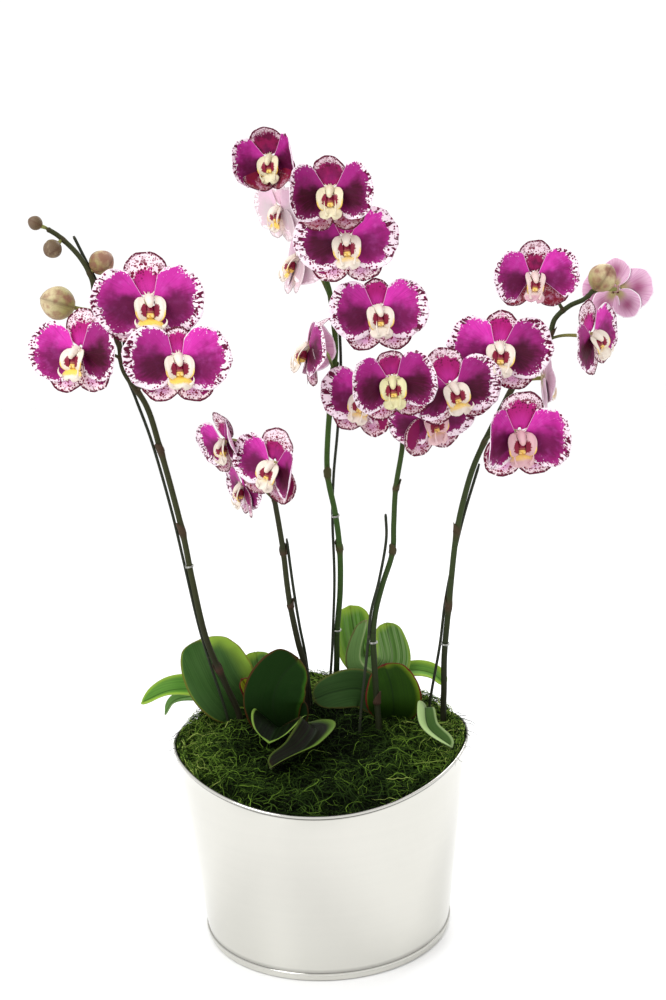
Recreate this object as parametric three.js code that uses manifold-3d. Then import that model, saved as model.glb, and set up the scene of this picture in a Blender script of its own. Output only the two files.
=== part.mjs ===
// Five moth orchids growing in one round metal bucket, topped with moss.
// Millimetres, +Z up. The origin is the centre of the bucket's flat underside,
// and -Y is the front, which most of the flowers face.
import * as THREE from "three";
import { mergeVertices } from "three/addons/utils/BufferGeometryUtils.js";
import Module from "manifold-3d";

const wasm = await Module();
wasm.setup();

// ---------------------------------------------------------------- driving dimensions

const GAP = 0.3; // clearance between pieces that touch

// Bucket: a tapered wall whose rolled rim dips at the front and back.
const RIM_RADIUS = 138;
const RIM_HEIGHT = 185.5;
const RIM_DIP = 24.5;
const RIM_BEAD = 2;
const FOOT_RADIUS = 116;
const FOOT_BEAD_HEIGHT = 6;
const FOOT_BEAD = 1.6;
const WALL = 1.8;
const FLOOR = 2.5;
const BUCKET_SEGMENTS = 28;

// Filling
const MIX_TOP = 146;
const MOSS_BOTTOM = MIX_TOP + GAP;
const MOSS_MIDDLE = 183;
const MOSS_SLOPE = { front: 0.11, back: 0.16 };
const MOSS_SHOULDER = 13;
const MOSS_LUMP = 1.5;
const HOLE_FLOOR = 150;
const HOLE_TOP = 225;
const HOLE_CLEAR = 0.9;
const PIT_RADIUS = 15;

// Stems, stakes and ties
const STEM_RADIUS = { base: 3.1, tip: 2.2 };
const NODE_SWELL = 1.3;
const STAKE_RADIUS = 1.4;
const TIE_WIRE = 1.1;
const TIE_CLEAR = 0.45;
const PEDICEL_RADIUS = { start: 1.3, end: 2 };

// Flower at size 1: about 98 mm across the petals. Depths are along the bloom's own Y,
// which grows towards its back. Taper is how far the outline closes towards the tip, as a
// share of a half sine, and round is how far the tip's corners lie back.
const PETAL = { length: 45, width: 57, behind: -0.6, taper: 0.81, round: 0.16 };
const DORSAL = { length: 39, width: 36, behind: 1.2, taper: 0.85, round: 0 };
const LATERAL = { length: 41, width: 34, behind: 1.4, taper: 0.85, round: 0 };
const TEPAL_THICK = 0.9;
const TEPAL_CUP = 3;
const PETAL_ANGLE = 88;
const LATERAL_ANGLE = 143;
const HUB = { radius: 4.6, front: -1.6, back: 4.4 };
const COLUMN = { radius: 3.8, tip: 2.8, front: -11 };

// Lip at size 1: half its width, its depth, and how far its side and middle lobes come
// forward. Its lower and upper edges are heights at the middle, halfway out and at the side.
const LIP = { half: 16, depth: -6.5, taper: 3, sideLobe: 6, middleLobe: 7 };
const LIP_LOW = [-25, -19, -6];
const LIP_HIGH = [-2, 1, -2];

// Leaves
const LEAF_THICK = 1.4;
const CROWN = { base: 9, top: 6 };

const DEGREE = Math.PI / 180;

// ---------------------------------------------------------------- what stands where

// Each flower spike: the middle line of its stem from the hole in the moss upwards,
// the heights of its swollen nodes, and its stake as sideways offsets from the stem
// at given heights. A tie is a wire ring at the height where the stake lies close.
const STEMS = {
  a: {
    line: [[-78, 33, 150], [-78, 33, 193], [-90, 31, 229], [-105, 28, 273], [-115, 24, 334],
      [-121, 20, 381], [-136, 14, 460], [-146, 10, 502], [-164, 8, 535], [-167, 7, 560],
      [-184, 6, 591], [-186, 5, 616], [-195, 4, 636], [-212, 2, 655], [-222, 0, 662]],
    nodes: [243, 381, 460, 591],
    stake: [[-12, 1, 150], [-12, 1, 170], [-12, 1, 192], [-7, 4, 245], [-4, 3, 285],
      [-4.6, 1.5, 348], [-5.5, 2, 400], [-6, 1, 470], [-6, 3, 510], [0, 8, 536], [6, 6, 565],
      [6, 5, 606], [4, 5, 640], [12, 5, 655]],
    ties: [348],
  },
  b: {
    line: [[-12, 45, 150], [-12, 45, 196], [-13, 41, 240], [-18, 37, 264], [-24, 32, 303],
      [-26, 29, 324], [-28, 25, 356], [-32, 20, 394], [-35, 17, 415], [-41, 14, 438],
      [-52, 11, 456], [-62, 9, 464]],
    nodes: [303, 356],
    stake: [[4, 8, 150], [4, 8, 170], [4, 8, 192], [3, 5, 250], [4.8, 2, 280], [5.5, 1, 320],
      [5, 1, 370]],
    ties: [],
  },
  c: {
    line: [[17, 80, 150], [17, 80, 200], [19, 76, 234], [20, 73, 261], [25, 68, 307],
      [26, 62, 350], [23, 56, 386], [17, 50, 425], [19, 44, 466], [27, 35, 527],
      [29, 31, 548], [26, 24, 593], [20, 20, 616], [10, 16, 644], [2, 12, 668],
      [-3, 8, 690], [-8, 2, 706]],
    nodes: [350, 425, 527],
    stake: [[-7, -6, 150], [-7, -6, 170], [-7, -6, 196], [-5, -3, 240], [-4.2, -2.6, 266],
      [-6, -3, 320], [-3, 5, 384], [6, 4, 425], [9, 2, 470], [6, 3, 530], [6, 5, 590]],
    ties: [266, 384],
  },
  d: {
    line: [[55, 2, 150], [55, 2, 192], [54, 3, 215], [53, 4, 253], [53, 5, 279],
      [56, 6, 300], [63, 8, 324], [74, 9, 356], [76, 10, 382], [79, 12, 415],
      [86, 14, 450], [90, 16, 478], [99, 18, 494], [114, 18, 503]],
    nodes: [213, 356, 415],
    stake: [[-18, -2, 150], [-18, -2, 170], [-18, -2, 190], [-9, -3, 245], [-4.8, -0.8, 271],
      [-4.6, -3, 300], [-5, -4, 330], [-7, -3, 370], [-8, 0, 392]],
    ties: [271],
  },
  e: {
    line: [[119, 24, 150], [119, 24, 195], [120, 23, 215], [121, 21, 249], [126, 17, 299],
      [135, 12, 373], [144, 9, 411], [152, 8, 435], [167, 7, 466], [190, 6, 507],
      [212, 5, 536], [222, 4, 550], [227, 3, 565], [240, 2, 576], [254, 1, 582],
      [262, 0, 590]],
    nodes: [299, 373, 550],
    stake: [[-13, 8, 150], [-13, 8, 170], [-13, 8, 192], [-4.6, 2, 262], [-3, 5, 305], [4, 4, 380],
      [5, 3, 435]],
    ties: [262],
  },
};

// Each bloom: where its middle is, how it is turned (yaw to the right, pitch down, roll
// clockwise, in degrees), its size, how far the left and right petals fold forward, how
// far the top sepal leans forward, and the height at which its stalk leaves the stem. Top
// turns the top sepal to the right, spread is the side sepals' angle and lap how far they
// fold forward, and crest is the top sepal's own size.
const BLOOMS = {
  a1: { at: [-132, -34, 596], turn: [0, 0, 0], size: 1, fold: [8, 8], hood: -3, from: 560, top: -4 },
  a2: { at: [-200, -12, 554], turn: [-22, 0, 0], size: 0.93, fold: [8, 34], hood: -3, from: 545,
    top: 18 },
  a3: { at: [-109, -48, 546], turn: [3, -2, 3], size: 1, fold: [8, 8], hood: -4, from: 515,
    crest: 0.66 },
  b1: { at: [-76, -2, 467], turn: [-50, 10, -8], size: 0.72, fold: [5, 48], hood: 10, from: 462 },
  b2: { at: [-32, -38, 449], turn: [-30, 5, 18], size: 0.82, fold: [0, 40], hood: -2, from: 425 },
  b3: { at: [-62, 8, 424], turn: [-60, 10, 0], size: 0.72, fold: [10, -45], hood: -2, from: 408 },
  c1: { at: [-22, -30, 711], turn: [-12, 10, -5], size: 0.74, fold: [48, 42], hood: 48, from: 704,
    crest: 0.85, lap: 40 },
  c2: { at: [-16, -2, 671], turn: [-62, 10, 10], size: 0.7, fold: [10, -20], hood: -2, from: 680 },
  c3: { at: [28, -51, 681], turn: [-14, 8, 0], size: 0.85, fold: [52, 20], hood: 40, from: 672,
    crest: 0.85 },
  c4: { at: [40, -35, 641], turn: [0, 0, 0], size: 0.92, fold: [2, 8], hood: 0, from: 620, crest: 0.8 },
  c5: { at: [66, -24, 580], turn: [2, 0, 0], size: 0.9, fold: [8, 8], hood: -4, from: 565, top: -5,
    crest: 0.7 },
  c6: { at: [4, 0, 548], turn: [-80, -8, 0], size: 0.85, fold: [-35, -50], hood: -35, from: 525,
    lap: -5 },
  c7: { at: [-3, 22, 627], turn: [-72, -10, 0], size: 0.8, fold: [-10, -40], hood: -10, from: 590,
    crest: 0.65 },
  c8: { at: [53, 8, 501], turn: [-26, 0, 12], size: 0.86, fold: [5, -50], hood: 0, from: 490,
    crest: 0.7 },
  d1: { at: [75, -52, 520], turn: [0, 8, -6], size: 0.86, fold: [34, 34], hood: 14, from: 470,
    crest: 0.76 },
  d2: { at: [128, -38, 511], turn: [5, 5, -10], size: 0.88, fold: [3, 8], hood: 2, from: 502,
    top: -12, spread: 128 },
  d3: { at: [111, -14, 484], turn: [28, 14, -12], size: 0.9, fold: [-50, 8], hood: 8, from: 490,
    crest: 0.8 },
  e1: { at: [200, -44, 603], turn: [3, 5, 3], size: 0.78, fold: [14, 18], hood: 0, from: 572,
    crest: 0.9 },
  e2: { at: [171, -28, 543], turn: [0, 0, 3], size: 0.95, fold: [5, 8], hood: -3, from: 520,
    top: 6, crest: 0.8 },
  e3: { at: [184, -54, 468], turn: [5, 12, 0], size: 0.95, fold: [44, 40], hood: 8, from: 455,
    crest: 1.05 },
  e4: { at: [257, -14, 549], turn: [55, 0, -22], size: 0.8, fold: [4, 2], hood: -2, from: 545 },
  e5: { at: [286, 18, 589], turn: [150, 0, 0], size: 0.68, fold: [5, 5], hood: -2, from: 584 },
  e6: { at: [219, 18, 511], turn: [85, 0, 0], size: 0.75, fold: [5, 5], hood: -2, from: 500,
    crest: 0.8 },
};

// Blooms seen from behind or edge-on: their lip is one solid with the tepals.
const HIDDEN_LIPS = ["c2", "c7", "e5", "e6"];

// Unopened buds: middle, radius, and the height at which each stalk leaves its stem.
const BUDS = [
  { stem: "a", at: [-231, -2, 667], radius: 6.5, from: 661 },
  { stem: "a", at: [-217, -6, 644], radius: 8.5, from: 652 },
  { stem: "a", at: [-177, 8, 631], radius: 11.5, from: 622 },
  { stem: "a", at: [-217, 0, 597], radius: 15.5, from: 585 },
  { stem: "e", at: [268, -6, 600], radius: 13, from: 588 },
];

// Leaves by plant: the spine from the short stem to the tip, the full width, the way the
// upper face looks, and how steeply each half rises from the midrib.
const PLANTS = {
  a: {
    foot: [-68, 52],
    top: 202,
    leaves: [
      { spine: [[-70, 51, 192], [-92, 50, 218], [-106, 60, 245], [-114, 72, 263]],
        width: 68, face: [0.25, -0.9, 0.4], fold: 0.2 },
      { spine: [[-68, 54, 188], [-60, 78, 218], [-62, 92, 241]],
        width: 36, face: [0.1, -0.8, 0.6], fold: 0.25 },
      { spine: [[-66, 50, 190], [-62, 38, 220], [-66, 34, 243]],
        width: 20, face: [0.3, -0.9, 0.3], fold: 0.3 },
      { spine: [[-70, 54, 196], [-112, 62, 211], [-147, 65, 213], [-177, 66, 201]],
        width: 30, face: [0, -0.45, 0.9], fold: 0.5 },
      { spine: [[-70, 55, 192], [-118, 74, 202], [-145, 78, 198], [-156, 80, 184]],
        width: 18, face: [0, -0.3, 0.95], fold: 0.3 },
    ],
  },
  b: {
    foot: [-36, 6],
    top: 190,
    leaves: [
      { spine: [[-38, 7, 182], [-46, 4, 220], [-38, 8, 243], [-19, 16, 258]],
        width: 62, face: [0.1, -0.98, 0.15], fold: 0.15 },
      { spine: [[-34, 7, 184], [-22, 8, 202], [-17, 10, 216]],
        width: 22, face: [0.1, -0.98, 0.15], fold: 0.2 },
      { spine: [[-36, 4, 186], [-41, -18, 197], [-48, -38, 192]],
        width: 48, face: [0, -0.3, 0.95], fold: 0.45 },
      { spine: [[-34, 4, 186], [-5, -26, 198], [-16, -54, 191], [-46, -76, 183]],
        width: 34, face: [0.2, 0.2, 0.9], fold: 0.3 },
    ],
  },
  c: {
    foot: [66, 104],
    top: 212,
    leaves: [
      { spine: [[67, 103, 207], [76, 106, 222], [72, 122, 257]],
        width: 38, face: [0, -0.95, 0.3], fold: 0.25 },
      { spine: [[64, 104, 207], [44, 106, 222], [52, 118, 262]],
        width: 30, face: [-0.6, 0.7, 0.3], fold: 0.5 },
      { spine: [[65, 106, 207], [44, 126, 228], [36, 142, 272]],
        width: 42, face: [0, -0.95, 0.3], fold: 0.25 },
      { spine: [[68, 104, 204], [98, 108, 209], [117, 106, 205], [130, 102, 194]],
        width: 22, face: [0, -0.5, 0.85], fold: 0.4 },
    ],
  },
  d: {
    foot: [70, 30],
    top: 192,
    leaves: [
      { spine: [[70, 27, 184], [71, 19, 206], [69, 23, 224], [64, 34, 240]],
        width: 54, face: [0, -0.97, 0.2], fold: 0.15 },
      { spine: [[67, 32, 190], [42, 42, 213], [15, 36, 214], [-6, 30, 209]],
        width: 38, face: [-0.1, -0.9, 0.4], fold: 0.15 },
    ],
  },
  e: {
    foot: [99, 10],
    top: 190,
    leaves: [
      { spine: [[99, 8, 187], [98, -10, 209], [99, -30, 197], [118, -54, 186]],
        width: 20, face: [0.3, -0.5, 0.8], fold: 0.3 },
    ],
  },
};

// ---------------------------------------------------------------- materials

const finish = (color, roughness, metalness = 0) =>
  new THREE.MeshStandardMaterial({ color, roughness, metalness });

const MATERIALS = {
  bucket: finish(0xe6e7e6, 0.12, 1),
  mix: finish(0x4a3524, 0.95),
  moss: finish(0x3d5a17, 0.95),
  stem: finish(0x4b5f2c, 0.5),
  stake: finish(0x2d3320, 0.6),
  leaf: finish(0x2f6b23, 0.35),
  petal: finish(0xa3157f, 0.5),
  lip: finish(0xf3ecd8, 0.5),
};

// ---------------------------------------------------------------- solids

// A closed geometry as a solid that can be joined to others and cut.
function solidOf(geometry) {
  const bare = geometry.clone();
  bare.deleteAttribute("normal");
  bare.deleteAttribute("uv");
  const merged = mergeVertices(bare, 1e-3);
  return new wasm.Manifold(new wasm.Mesh({
    numProp: 3,
    vertProperties: new Float32Array(merged.attributes.position.array),
    triVerts: new Uint32Array(merged.index.array),
  }));
}

function geometryOf(solid) {
  const { vertProperties, triVerts } = solid.getMesh();
  const geometry = new THREE.BufferGeometry();
  geometry.setAttribute("position", new THREE.BufferAttribute(vertProperties, 3));
  geometry.setIndex(new THREE.BufferAttribute(triVerts, 1));
  return geometry;
}

const join = (solids) => solids.reduce((whole, solid) => whole.add(solid));

function piece(name, solid, material) {
  const mesh = new THREE.Mesh(geometryOf(solid), material);
  mesh.name = name;
  return mesh;
}

function meshed(points, faces) {
  const geometry = new THREE.BufferGeometry();
  geometry.setAttribute("position",
    new THREE.Float32BufferAttribute(points.flatMap((p) => [p.x, p.y, p.z]), 3));
  geometry.setIndex(faces.flat());
  return geometry;
}

// A round rod along a curve, closed at both ends. Its radius may change on the way.
function rod(curve, radiusAt, stations, sides) {
  const points = [];
  const faces = [];
  const side = new THREE.Vector3(1, 0, 0);
  for (const t of stations) {
    const middle = curve.getPoint(t);
    const ahead = curve.getTangent(t);
    side.addScaledVector(ahead, -side.dot(ahead)).normalize();
    const other = new THREE.Vector3().crossVectors(ahead, side);
    for (let i = 0; i < sides; i++) {
      const turn = (2 * Math.PI * i) / sides;
      points.push(middle.clone()
        .addScaledVector(side, radiusAt(t) * Math.cos(turn))
        .addScaledVector(other, radiusAt(t) * Math.sin(turn)));
    }
  }
  const last = (stations.length - 1) * sides;
  for (let ring = 0; ring < last; ring += sides) {
    for (let i = 0; i < sides; i++) {
      const j = (i + 1) % sides;
      faces.push([ring + i, ring + j, ring + sides + j]);
      faces.push([ring + i, ring + sides + j, ring + sides + i]);
    }
  }
  for (let i = 1; i < sides - 1; i++) {
    faces.push([0, i + 1, i], [last, last + i, last + i + 1]);
  }
  return solidOf(meshed(points, faces));
}

const evenly = (count) => Array.from({ length: count + 1 }, (_, i) => i / count);

// A thin blade around a surface given by u from -1 to 1 across and v from 0 to 1 along.
// Both faces are split into triangles alike.
function blade(surface, columns, rows, thick) {
  const step = 1e-3;
  const upper = [];
  const lower = [];
  for (let row = 0; row <= rows; row++) {
    for (let column = 0; column <= columns; column++) {
      const u = (2 * column) / columns - 1;
      const v = row / rows;
      const across = surface(u + step, v).sub(surface(u - step, v));
      const along = surface(u, Math.min(v + step, 1)).sub(surface(u, Math.max(v - step, 0)));
      const out = new THREE.Vector3().crossVectors(across, along).setLength(thick / 2);
      upper.push(surface(u, v).add(out));
      lower.push(surface(u, v).sub(out));
    }
  }
  const wide = columns + 1;
  const under = upper.length;
  const faces = [];
  for (let row = 0; row < rows; row++) {
    for (let column = 0; column < columns; column++) {
      const a = row * wide + column;
      const b = a + 1;
      const c = b + wide;
      const d = a + wide;
      const halves = column < columns / 2 ? [[a, b, c], [a, c, d]] : [[a, b, d], [b, c, d]];
      for (const [p, q, r] of halves) {
        faces.push([p, q, r], [under + p, under + r, under + q]);
      }
    }
  }
  const edge = [];
  for (let column = 0; column < columns; column++) edge.push(column);
  for (let row = 0; row < rows; row++) edge.push(row * wide + columns);
  for (let column = columns; column > 0; column--) edge.push(rows * wide + column);
  for (let row = rows; row > 0; row--) edge.push(row * wide);
  edge.forEach((p, i) => {
    const q = edge[(i + 1) % edge.length];
    faces.push([p, under + p, under + q], [p, under + q, q]);
  });
  return solidOf(meshed([...upper, ...lower], faces));
}

const vector = (values) => new THREE.Vector3(...values);

// The value at a share from 0 to 1 of the way through evenly spaced ones.
function through(values, share) {
  const last = values.length - 2;
  const left = Math.min(Math.floor(share * (values.length - 1)), last);
  return THREE.MathUtils.lerp(values[left], values[left + 1], share * (last + 1) - left);
}

const lathe = (profile, segments) =>
  new THREE.LatheGeometry(profile.map(([r, z]) => new THREE.Vector2(r, z)), segments)
    .rotateX(Math.PI / 2);

// ---------------------------------------------------------------- bucket and filling

// How far up the wall a height is, from 0 at the foot bead to 1 at the rim.
const wallShare = (height) => (height - FOOT_BEAD_HEIGHT) / (RIM_HEIGHT - FOOT_BEAD_HEIGHT);
const wallRadius = (height) => FOOT_RADIUS + (RIM_RADIUS - FOOT_RADIUS) * wallShare(height);

// The rim dips towards the front and back, and the wall below it less and less.
function dipped(geometry) {
  const place = geometry.attributes.position;
  for (let i = 0; i < place.count; i++) {
    const x = place.getX(i);
    const y = place.getY(i);
    const z = place.getZ(i);
    const forward = y * y / Math.max(x * x + y * y, 1e-9);
    place.setZ(i, z - RIM_DIP * forward * Math.max(wallShare(z), 0));
  }
  return geometry;
}

// Points of a bead's outline, seen in section, from one angle to another.
function bead(radius, height, size, from, to, count) {
  return evenly(count).map((t) => {
    const angle = (from + (to - from) * t) * DEGREE;
    return [radius + size * Math.cos(angle), height + size * Math.sin(angle)];
  });
}

function bucket() {
  const inner = (height) => wallRadius(height) - WALL;
  const profile = [
    [0, 0],
    [FOOT_RADIUS, 0],
    ...bead(FOOT_RADIUS, FOOT_BEAD_HEIGHT, FOOT_BEAD, -60, 60, 2),
    [wallRadius(110), 110],
    ...bead(RIM_RADIUS, RIM_HEIGHT, RIM_BEAD, -60, 210, 5),
    [inner(110), 110],
    [inner(FLOOR), FLOOR],
    [0, FLOOR],
  ];
  return solidOf(dipped(lathe(profile, BUCKET_SEGMENTS)));
}

function pottingMix() {
  const inside = (height) => wallRadius(height) - WALL - 2 * GAP;
  const bottom = FLOOR + GAP;
  const profile = [
    [0, bottom],
    [inside(bottom) - 1, bottom],
    [inside(MIX_TOP), MIX_TOP],
    [0, MIX_TOP],
  ];
  return solidOf(lathe(profile, BUCKET_SEGMENTS));
}

// The moss is heaped higher towards the back, and falls below the rim at the front.
function mossHeight(x, y) {
  const out = Math.hypot(x, y) / RIM_RADIUS;
  const slope = y > 0 ? MOSS_SLOPE.back : MOSS_SLOPE.front;
  const shoulder = MOSS_SHOULDER * out ** 4 * (1 - y / RIM_RADIUS) / 2;
  const lumps = Math.sin(x / 9 + 1) * Math.cos(y / 8) + Math.sin(x / 17 - y / 13);
  return MOSS_MIDDLE + slope * y - shoulder + MOSS_LUMP * lumps;
}

function moss(holes) {
  const rings = [0.3, 0.56, 0.8, 1];
  const profile = [[0, 1], ...rings.map((share) => [share, 1]), [1, 0], [0, 0]].reverse();
  const geometry = lathe(profile, BUCKET_SEGMENTS);
  const place = geometry.attributes.position;
  for (let i = 0; i < place.count; i++) {
    const top = place.getZ(i) > 0.5;
    let reach = wallRadius(MOSS_BOTTOM) - WALL - 2 * GAP;
    if (top) {
      const x = place.getX(i) * RIM_RADIUS;
      const y = place.getY(i) * RIM_RADIUS;
      const low = Math.min(mossHeight(x, y), MOSS_BOTTOM + 20);
      reach = wallRadius(low) - WALL - 2 * GAP;
    }
    const x = place.getX(i) * reach;
    const y = place.getY(i) * reach;
    place.setXYZ(i, x, y, top ? mossHeight(x, y) : MOSS_BOTTOM);
  }
  return holes.reduce((rest, hole) => rest.subtract(hole), solidOf(geometry));
}

// ---------------------------------------------------------------- stems and stakes

const lineOf = (points) =>
  new THREE.CatmullRomCurve3(points.map(vector), false, "centripetal");

// Where along a rising line it reaches a height.
function shareAt(line, height) {
  let low = 0;
  let high = 1;
  for (let i = 0; i < 30; i++) {
    const middle = (low + high) / 2;
    if (line.getPoint(middle).z < height) low = middle;
    else high = middle;
  }
  return low;
}

function stemRadius(t) {
  return STEM_RADIUS.base + (STEM_RADIUS.tip - STEM_RADIUS.base) * t;
}

function stem(line, nodes, ties) {
  const node = 0.008;
  const swollen = nodes.map((height) => shareAt(line, height));
  const stations = evenly(line.points.length - 1)
    .filter((t) => swollen.every((s) => Math.abs(s - t) > 2 * node))
    .concat(swollen.flatMap((s) => [s - node, s, s + node]))
    .concat(ties.map((height) => shareAt(line, height)))
    .sort((a, b) => a - b);
  const radiusAt = (t) => stemRadius(t) * (swollen.includes(t) ? NODE_SWELL : 1);
  return rod(line, radiusAt, stations, 5);
}

function stake(stemLine, offsets) {
  return lineOf(offsets.map(([dx, dy, height]) => {
    const beside = stemLine.getPoint(shareAt(stemLine, height));
    return [beside.x + dx, beside.y + dy, height];
  }));
}

// A wire ring around the stem, sunk into the stake beside it.
function tie(stemLine, height) {
  const t = shareAt(stemLine, height);
  const inner = stemRadius(t) + TIE_CLEAR;
  const outer = inner + TIE_WIRE;
  const half = TIE_WIRE / 2;
  const section = [[inner, -half], [outer, -half], [outer, half], [inner, half], [inner, -half]];
  const ring = lathe(section, 8);
  const up = new THREE.Vector3(0, 0, 1);
  ring.applyQuaternion(new THREE.Quaternion().setFromUnitVectors(up, stemLine.getTangent(t)));
  ring.translate(...stemLine.getPoint(t));
  return solidOf(ring);
}

// A plain upright hole in the moss.
function hole([x, y], radius) {
  const line = new THREE.LineCurve3(vector([x, y, HOLE_FLOOR - GAP]), vector([x, y, HOLE_TOP]));
  return rod(line, () => radius, [0, 1], 7);
}

// ---------------------------------------------------------------- blooms

const turned = ([yaw, pitch, roll]) =>
  new THREE.Euler(pitch * DEGREE, roll * DEGREE, yaw * DEGREE, "ZXY");

// One tepal in the bloom's own frame: front towards -Y, top sepal up. Angle is clockwise
// from the top, and fold curls the tepal forward.
function tepal(shape, angle, fold, columns) {
  const { length, width, behind, taper, round } = shape;
  const sweep = angle * DEGREE;
  const surface = (u, v) => {
    const fullness = Math.sin(Math.PI * (0.03 + taper * v)) ** 0.75;
    const across = (u * width * fullness) / 2;
    const lean = fold * DEGREE * v;
    const reach = length * v * (1 - round * u * u);
    const outward = HUB.radius * 0.75 + reach * Math.cos(lean);
    const cup = TEPAL_CUP * (u * u * 0.5 * fullness + v * v);
    return new THREE.Vector3(
      outward * Math.sin(sweep) + across * Math.cos(sweep),
      behind - reach * Math.sin(lean) - cup,
      outward * Math.cos(sweep) - across * Math.sin(sweep),
    );
  };
  return blade(surface, columns, 2, TEPAL_THICK);
}

function perianth({ size, fold, hood, top = 0, spread = LATERAL_ANGLE, crest = 1, lap = 0 }) {
  const depth = HUB.back - HUB.front;
  const hub = lathe([[0, 0], [HUB.radius, 0], [HUB.radius, depth], [0, depth]], 5)
    .rotateX(Math.PI / 2).translate(0, HUB.back, 0);
  const { length, width } = DORSAL;
  const crown = { ...DORSAL, length: length * crest, width: width * crest };
  const tepals = [
    tepal(PETAL, -PETAL_ANGLE, fold[0], 3),
    tepal(PETAL, PETAL_ANGLE, fold[1], 3),
    tepal(crown, top, hood, 2),
    tepal(LATERAL, -spread, lap, 2),
    tepal(LATERAL, spread, lap, 2),
  ];
  return join([solidOf(hub), ...tepals]).scale(size);
}

// The column, which starts at the given depth, and the lip below it: a cup of two side
// lobes with the middle lobe between.
function lip({ size }, start) {
  const middle = new THREE.LineCurve3(vector([0, start, 0]), vector([0, COLUMN.front, 0]));
  const column = rod(middle, (t) => through([COLUMN.radius, COLUMN.tip], t), [0, 1], 5);
  const cup = blade((u, v) => {
    const out = Math.abs(u);
    const low = through(LIP_LOW, out);
    const high = through(LIP_HIGH, out);
    return new THREE.Vector3(
      u * (LIP.half - 2 * out - LIP.taper * (1 - v)),
      LIP.depth - LIP.sideLobe * out - LIP.middleLobe * (1 - v) * (1 - out) ** 2,
      low + (high - low) * v,
    );
  }, 4, 2, TEPAL_THICK);
  return column.add(cup).scale(size);
}

// A stalk from the stem to the back of a bloom or bud.
function pedicel(stemLine, from, end, arriving) {
  const start = stemLine.getPoint(shareAt(stemLine, from));
  const reach = start.distanceTo(end) * 0.4;
  const leaving = end.clone().sub(start).normalize().add(new THREE.Vector3(0, 0, 0.5));
  const curve = new THREE.CubicBezierCurve3(
    start,
    start.clone().addScaledVector(leaving.normalize(), reach),
    end.clone().addScaledVector(arriving, -reach),
    end,
  );
  const { start: thin, end: thick } = PEDICEL_RADIUS;
  return rod(curve, (t) => thin + (thick - thin) * t, evenly(3), 4);
}

function bloomStalk(stemLine, { at, turn, size, from }) {
  const forward = new THREE.Vector3(0, -1, 0).applyEuler(turned(turn));
  const end = vector(at).addScaledVector(forward, -(HUB.back * size + GAP));
  return pedicel(stemLine, from, end, forward);
}

function bud(stemLine, { at, radius, from }) {
  const middle = vector(at);
  const start = stemLine.getPoint(shareAt(stemLine, from));
  const arriving = middle.clone().sub(start).normalize();
  const ball = new THREE.SphereGeometry(radius, 6, 4).scale(1, 1, 1.1);
  ball.translate(...middle);
  return pedicel(stemLine, from, middle, arriving).add(solidOf(ball));
}

// ---------------------------------------------------------------- leaves

// A strap-shaped leaf, folded along its midrib, that hangs on its spine.
function leaf({ spine, width, face, fold }) {
  const line = lineOf(spine);
  const surface = (u, v) => {
    const at = line.getPoint(v);
    const ahead = line.getTangent(v);
    const side = new THREE.Vector3().crossVectors(ahead, vector(face)).normalize();
    const up = new THREE.Vector3().crossVectors(side, ahead);
    const half = (width / 2) * Math.sin(Math.PI * (0.04 + 0.9 * v ** 0.75)) ** 0.75;
    return at.addScaledVector(side, u * half).addScaledVector(up, Math.abs(u) * half * fold);
  };
  return blade(surface, 2, 4, LEAF_THICK);
}

function rosette({ foot: [x, y], top, leaves }) {
  const crown = new THREE.LineCurve3(vector([x, y, HOLE_FLOOR]), vector([x, y, top]));
  const shoot = rod(crown, (t) => through([CROWN.base, CROWN.top], t), [0, 0.5, 1], 8);
  return join([shoot, ...leaves.map(leaf)]);
}

// ---------------------------------------------------------------- the whole plant

const orchid = new THREE.Group();
orchid.add(piece("bucket", bucket(), MATERIALS.bucket));
orchid.add(piece("potting_mix", pottingMix(), MATERIALS.mix));

const holes = [];
for (const [key, { line, nodes, stake: offsets, ties }] of Object.entries(STEMS)) {
  const stemLine = lineOf(line);
  const blooms = Object.entries(BLOOMS).filter(([name]) => name.startsWith(key));
  const stalks = blooms.map(([, bloom]) => bloomStalk(stemLine, bloom));
  const buds = BUDS.filter((one) => one.stem === key).map((one) => bud(stemLine, one));
  orchid.add(piece(`stem_${key}`, join([stem(stemLine, nodes, ties), ...stalks, ...buds]),
    MATERIALS.stem));

  const stakeLine = stake(stemLine, offsets);
  const rings = ties.map((height) => tie(stemLine, height));
  const stick = rod(stakeLine, () => STAKE_RADIUS, evenly(offsets.length + 1), 4);
  orchid.add(piece(`stake_${key}`, join([stick, ...rings]), MATERIALS.stake));

  holes.push(hole(line[0], STEM_RADIUS.base + HOLE_CLEAR));
  holes.push(hole([...stakeLine.points[0]], STAKE_RADIUS + HOLE_CLEAR));

  for (const [name, bloom] of blooms) {
    const flower = new THREE.Group();
    flower.position.set(...bloom.at);
    flower.rotation.copy(turned(bloom.turn));
    if (HIDDEN_LIPS.includes(name)) {
      const whole = perianth(bloom).add(lip(bloom, HUB.front + GAP));
      flower.add(piece(`bloom_${name}`, whole, MATERIALS.petal));
    } else {
      flower.add(piece(`perianth_${name}`, perianth(bloom), MATERIALS.petal));
      flower.add(piece(`lip_${name}`, lip(bloom, HUB.front - GAP), MATERIALS.lip));
    }
    orchid.add(flower);
  }
}

for (const [key, plant] of Object.entries(PLANTS)) {
  orchid.add(piece(`leaves_${key}`, rosette(plant), MATERIALS.leaf));
  holes.push(hole(plant.foot, PIT_RADIUS));
}
orchid.add(piece("moss", moss(holes), MATERIALS.moss));

export default orchid;
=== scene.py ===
"""Five moth orchids in a polished metal bucket topped with moss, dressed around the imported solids.

Lengths below are millimetres in the solids' own frame, and become metres when a mesh is made.
"""
import math

import bpy
import numpy as np
from mathutils import Matrix


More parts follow.
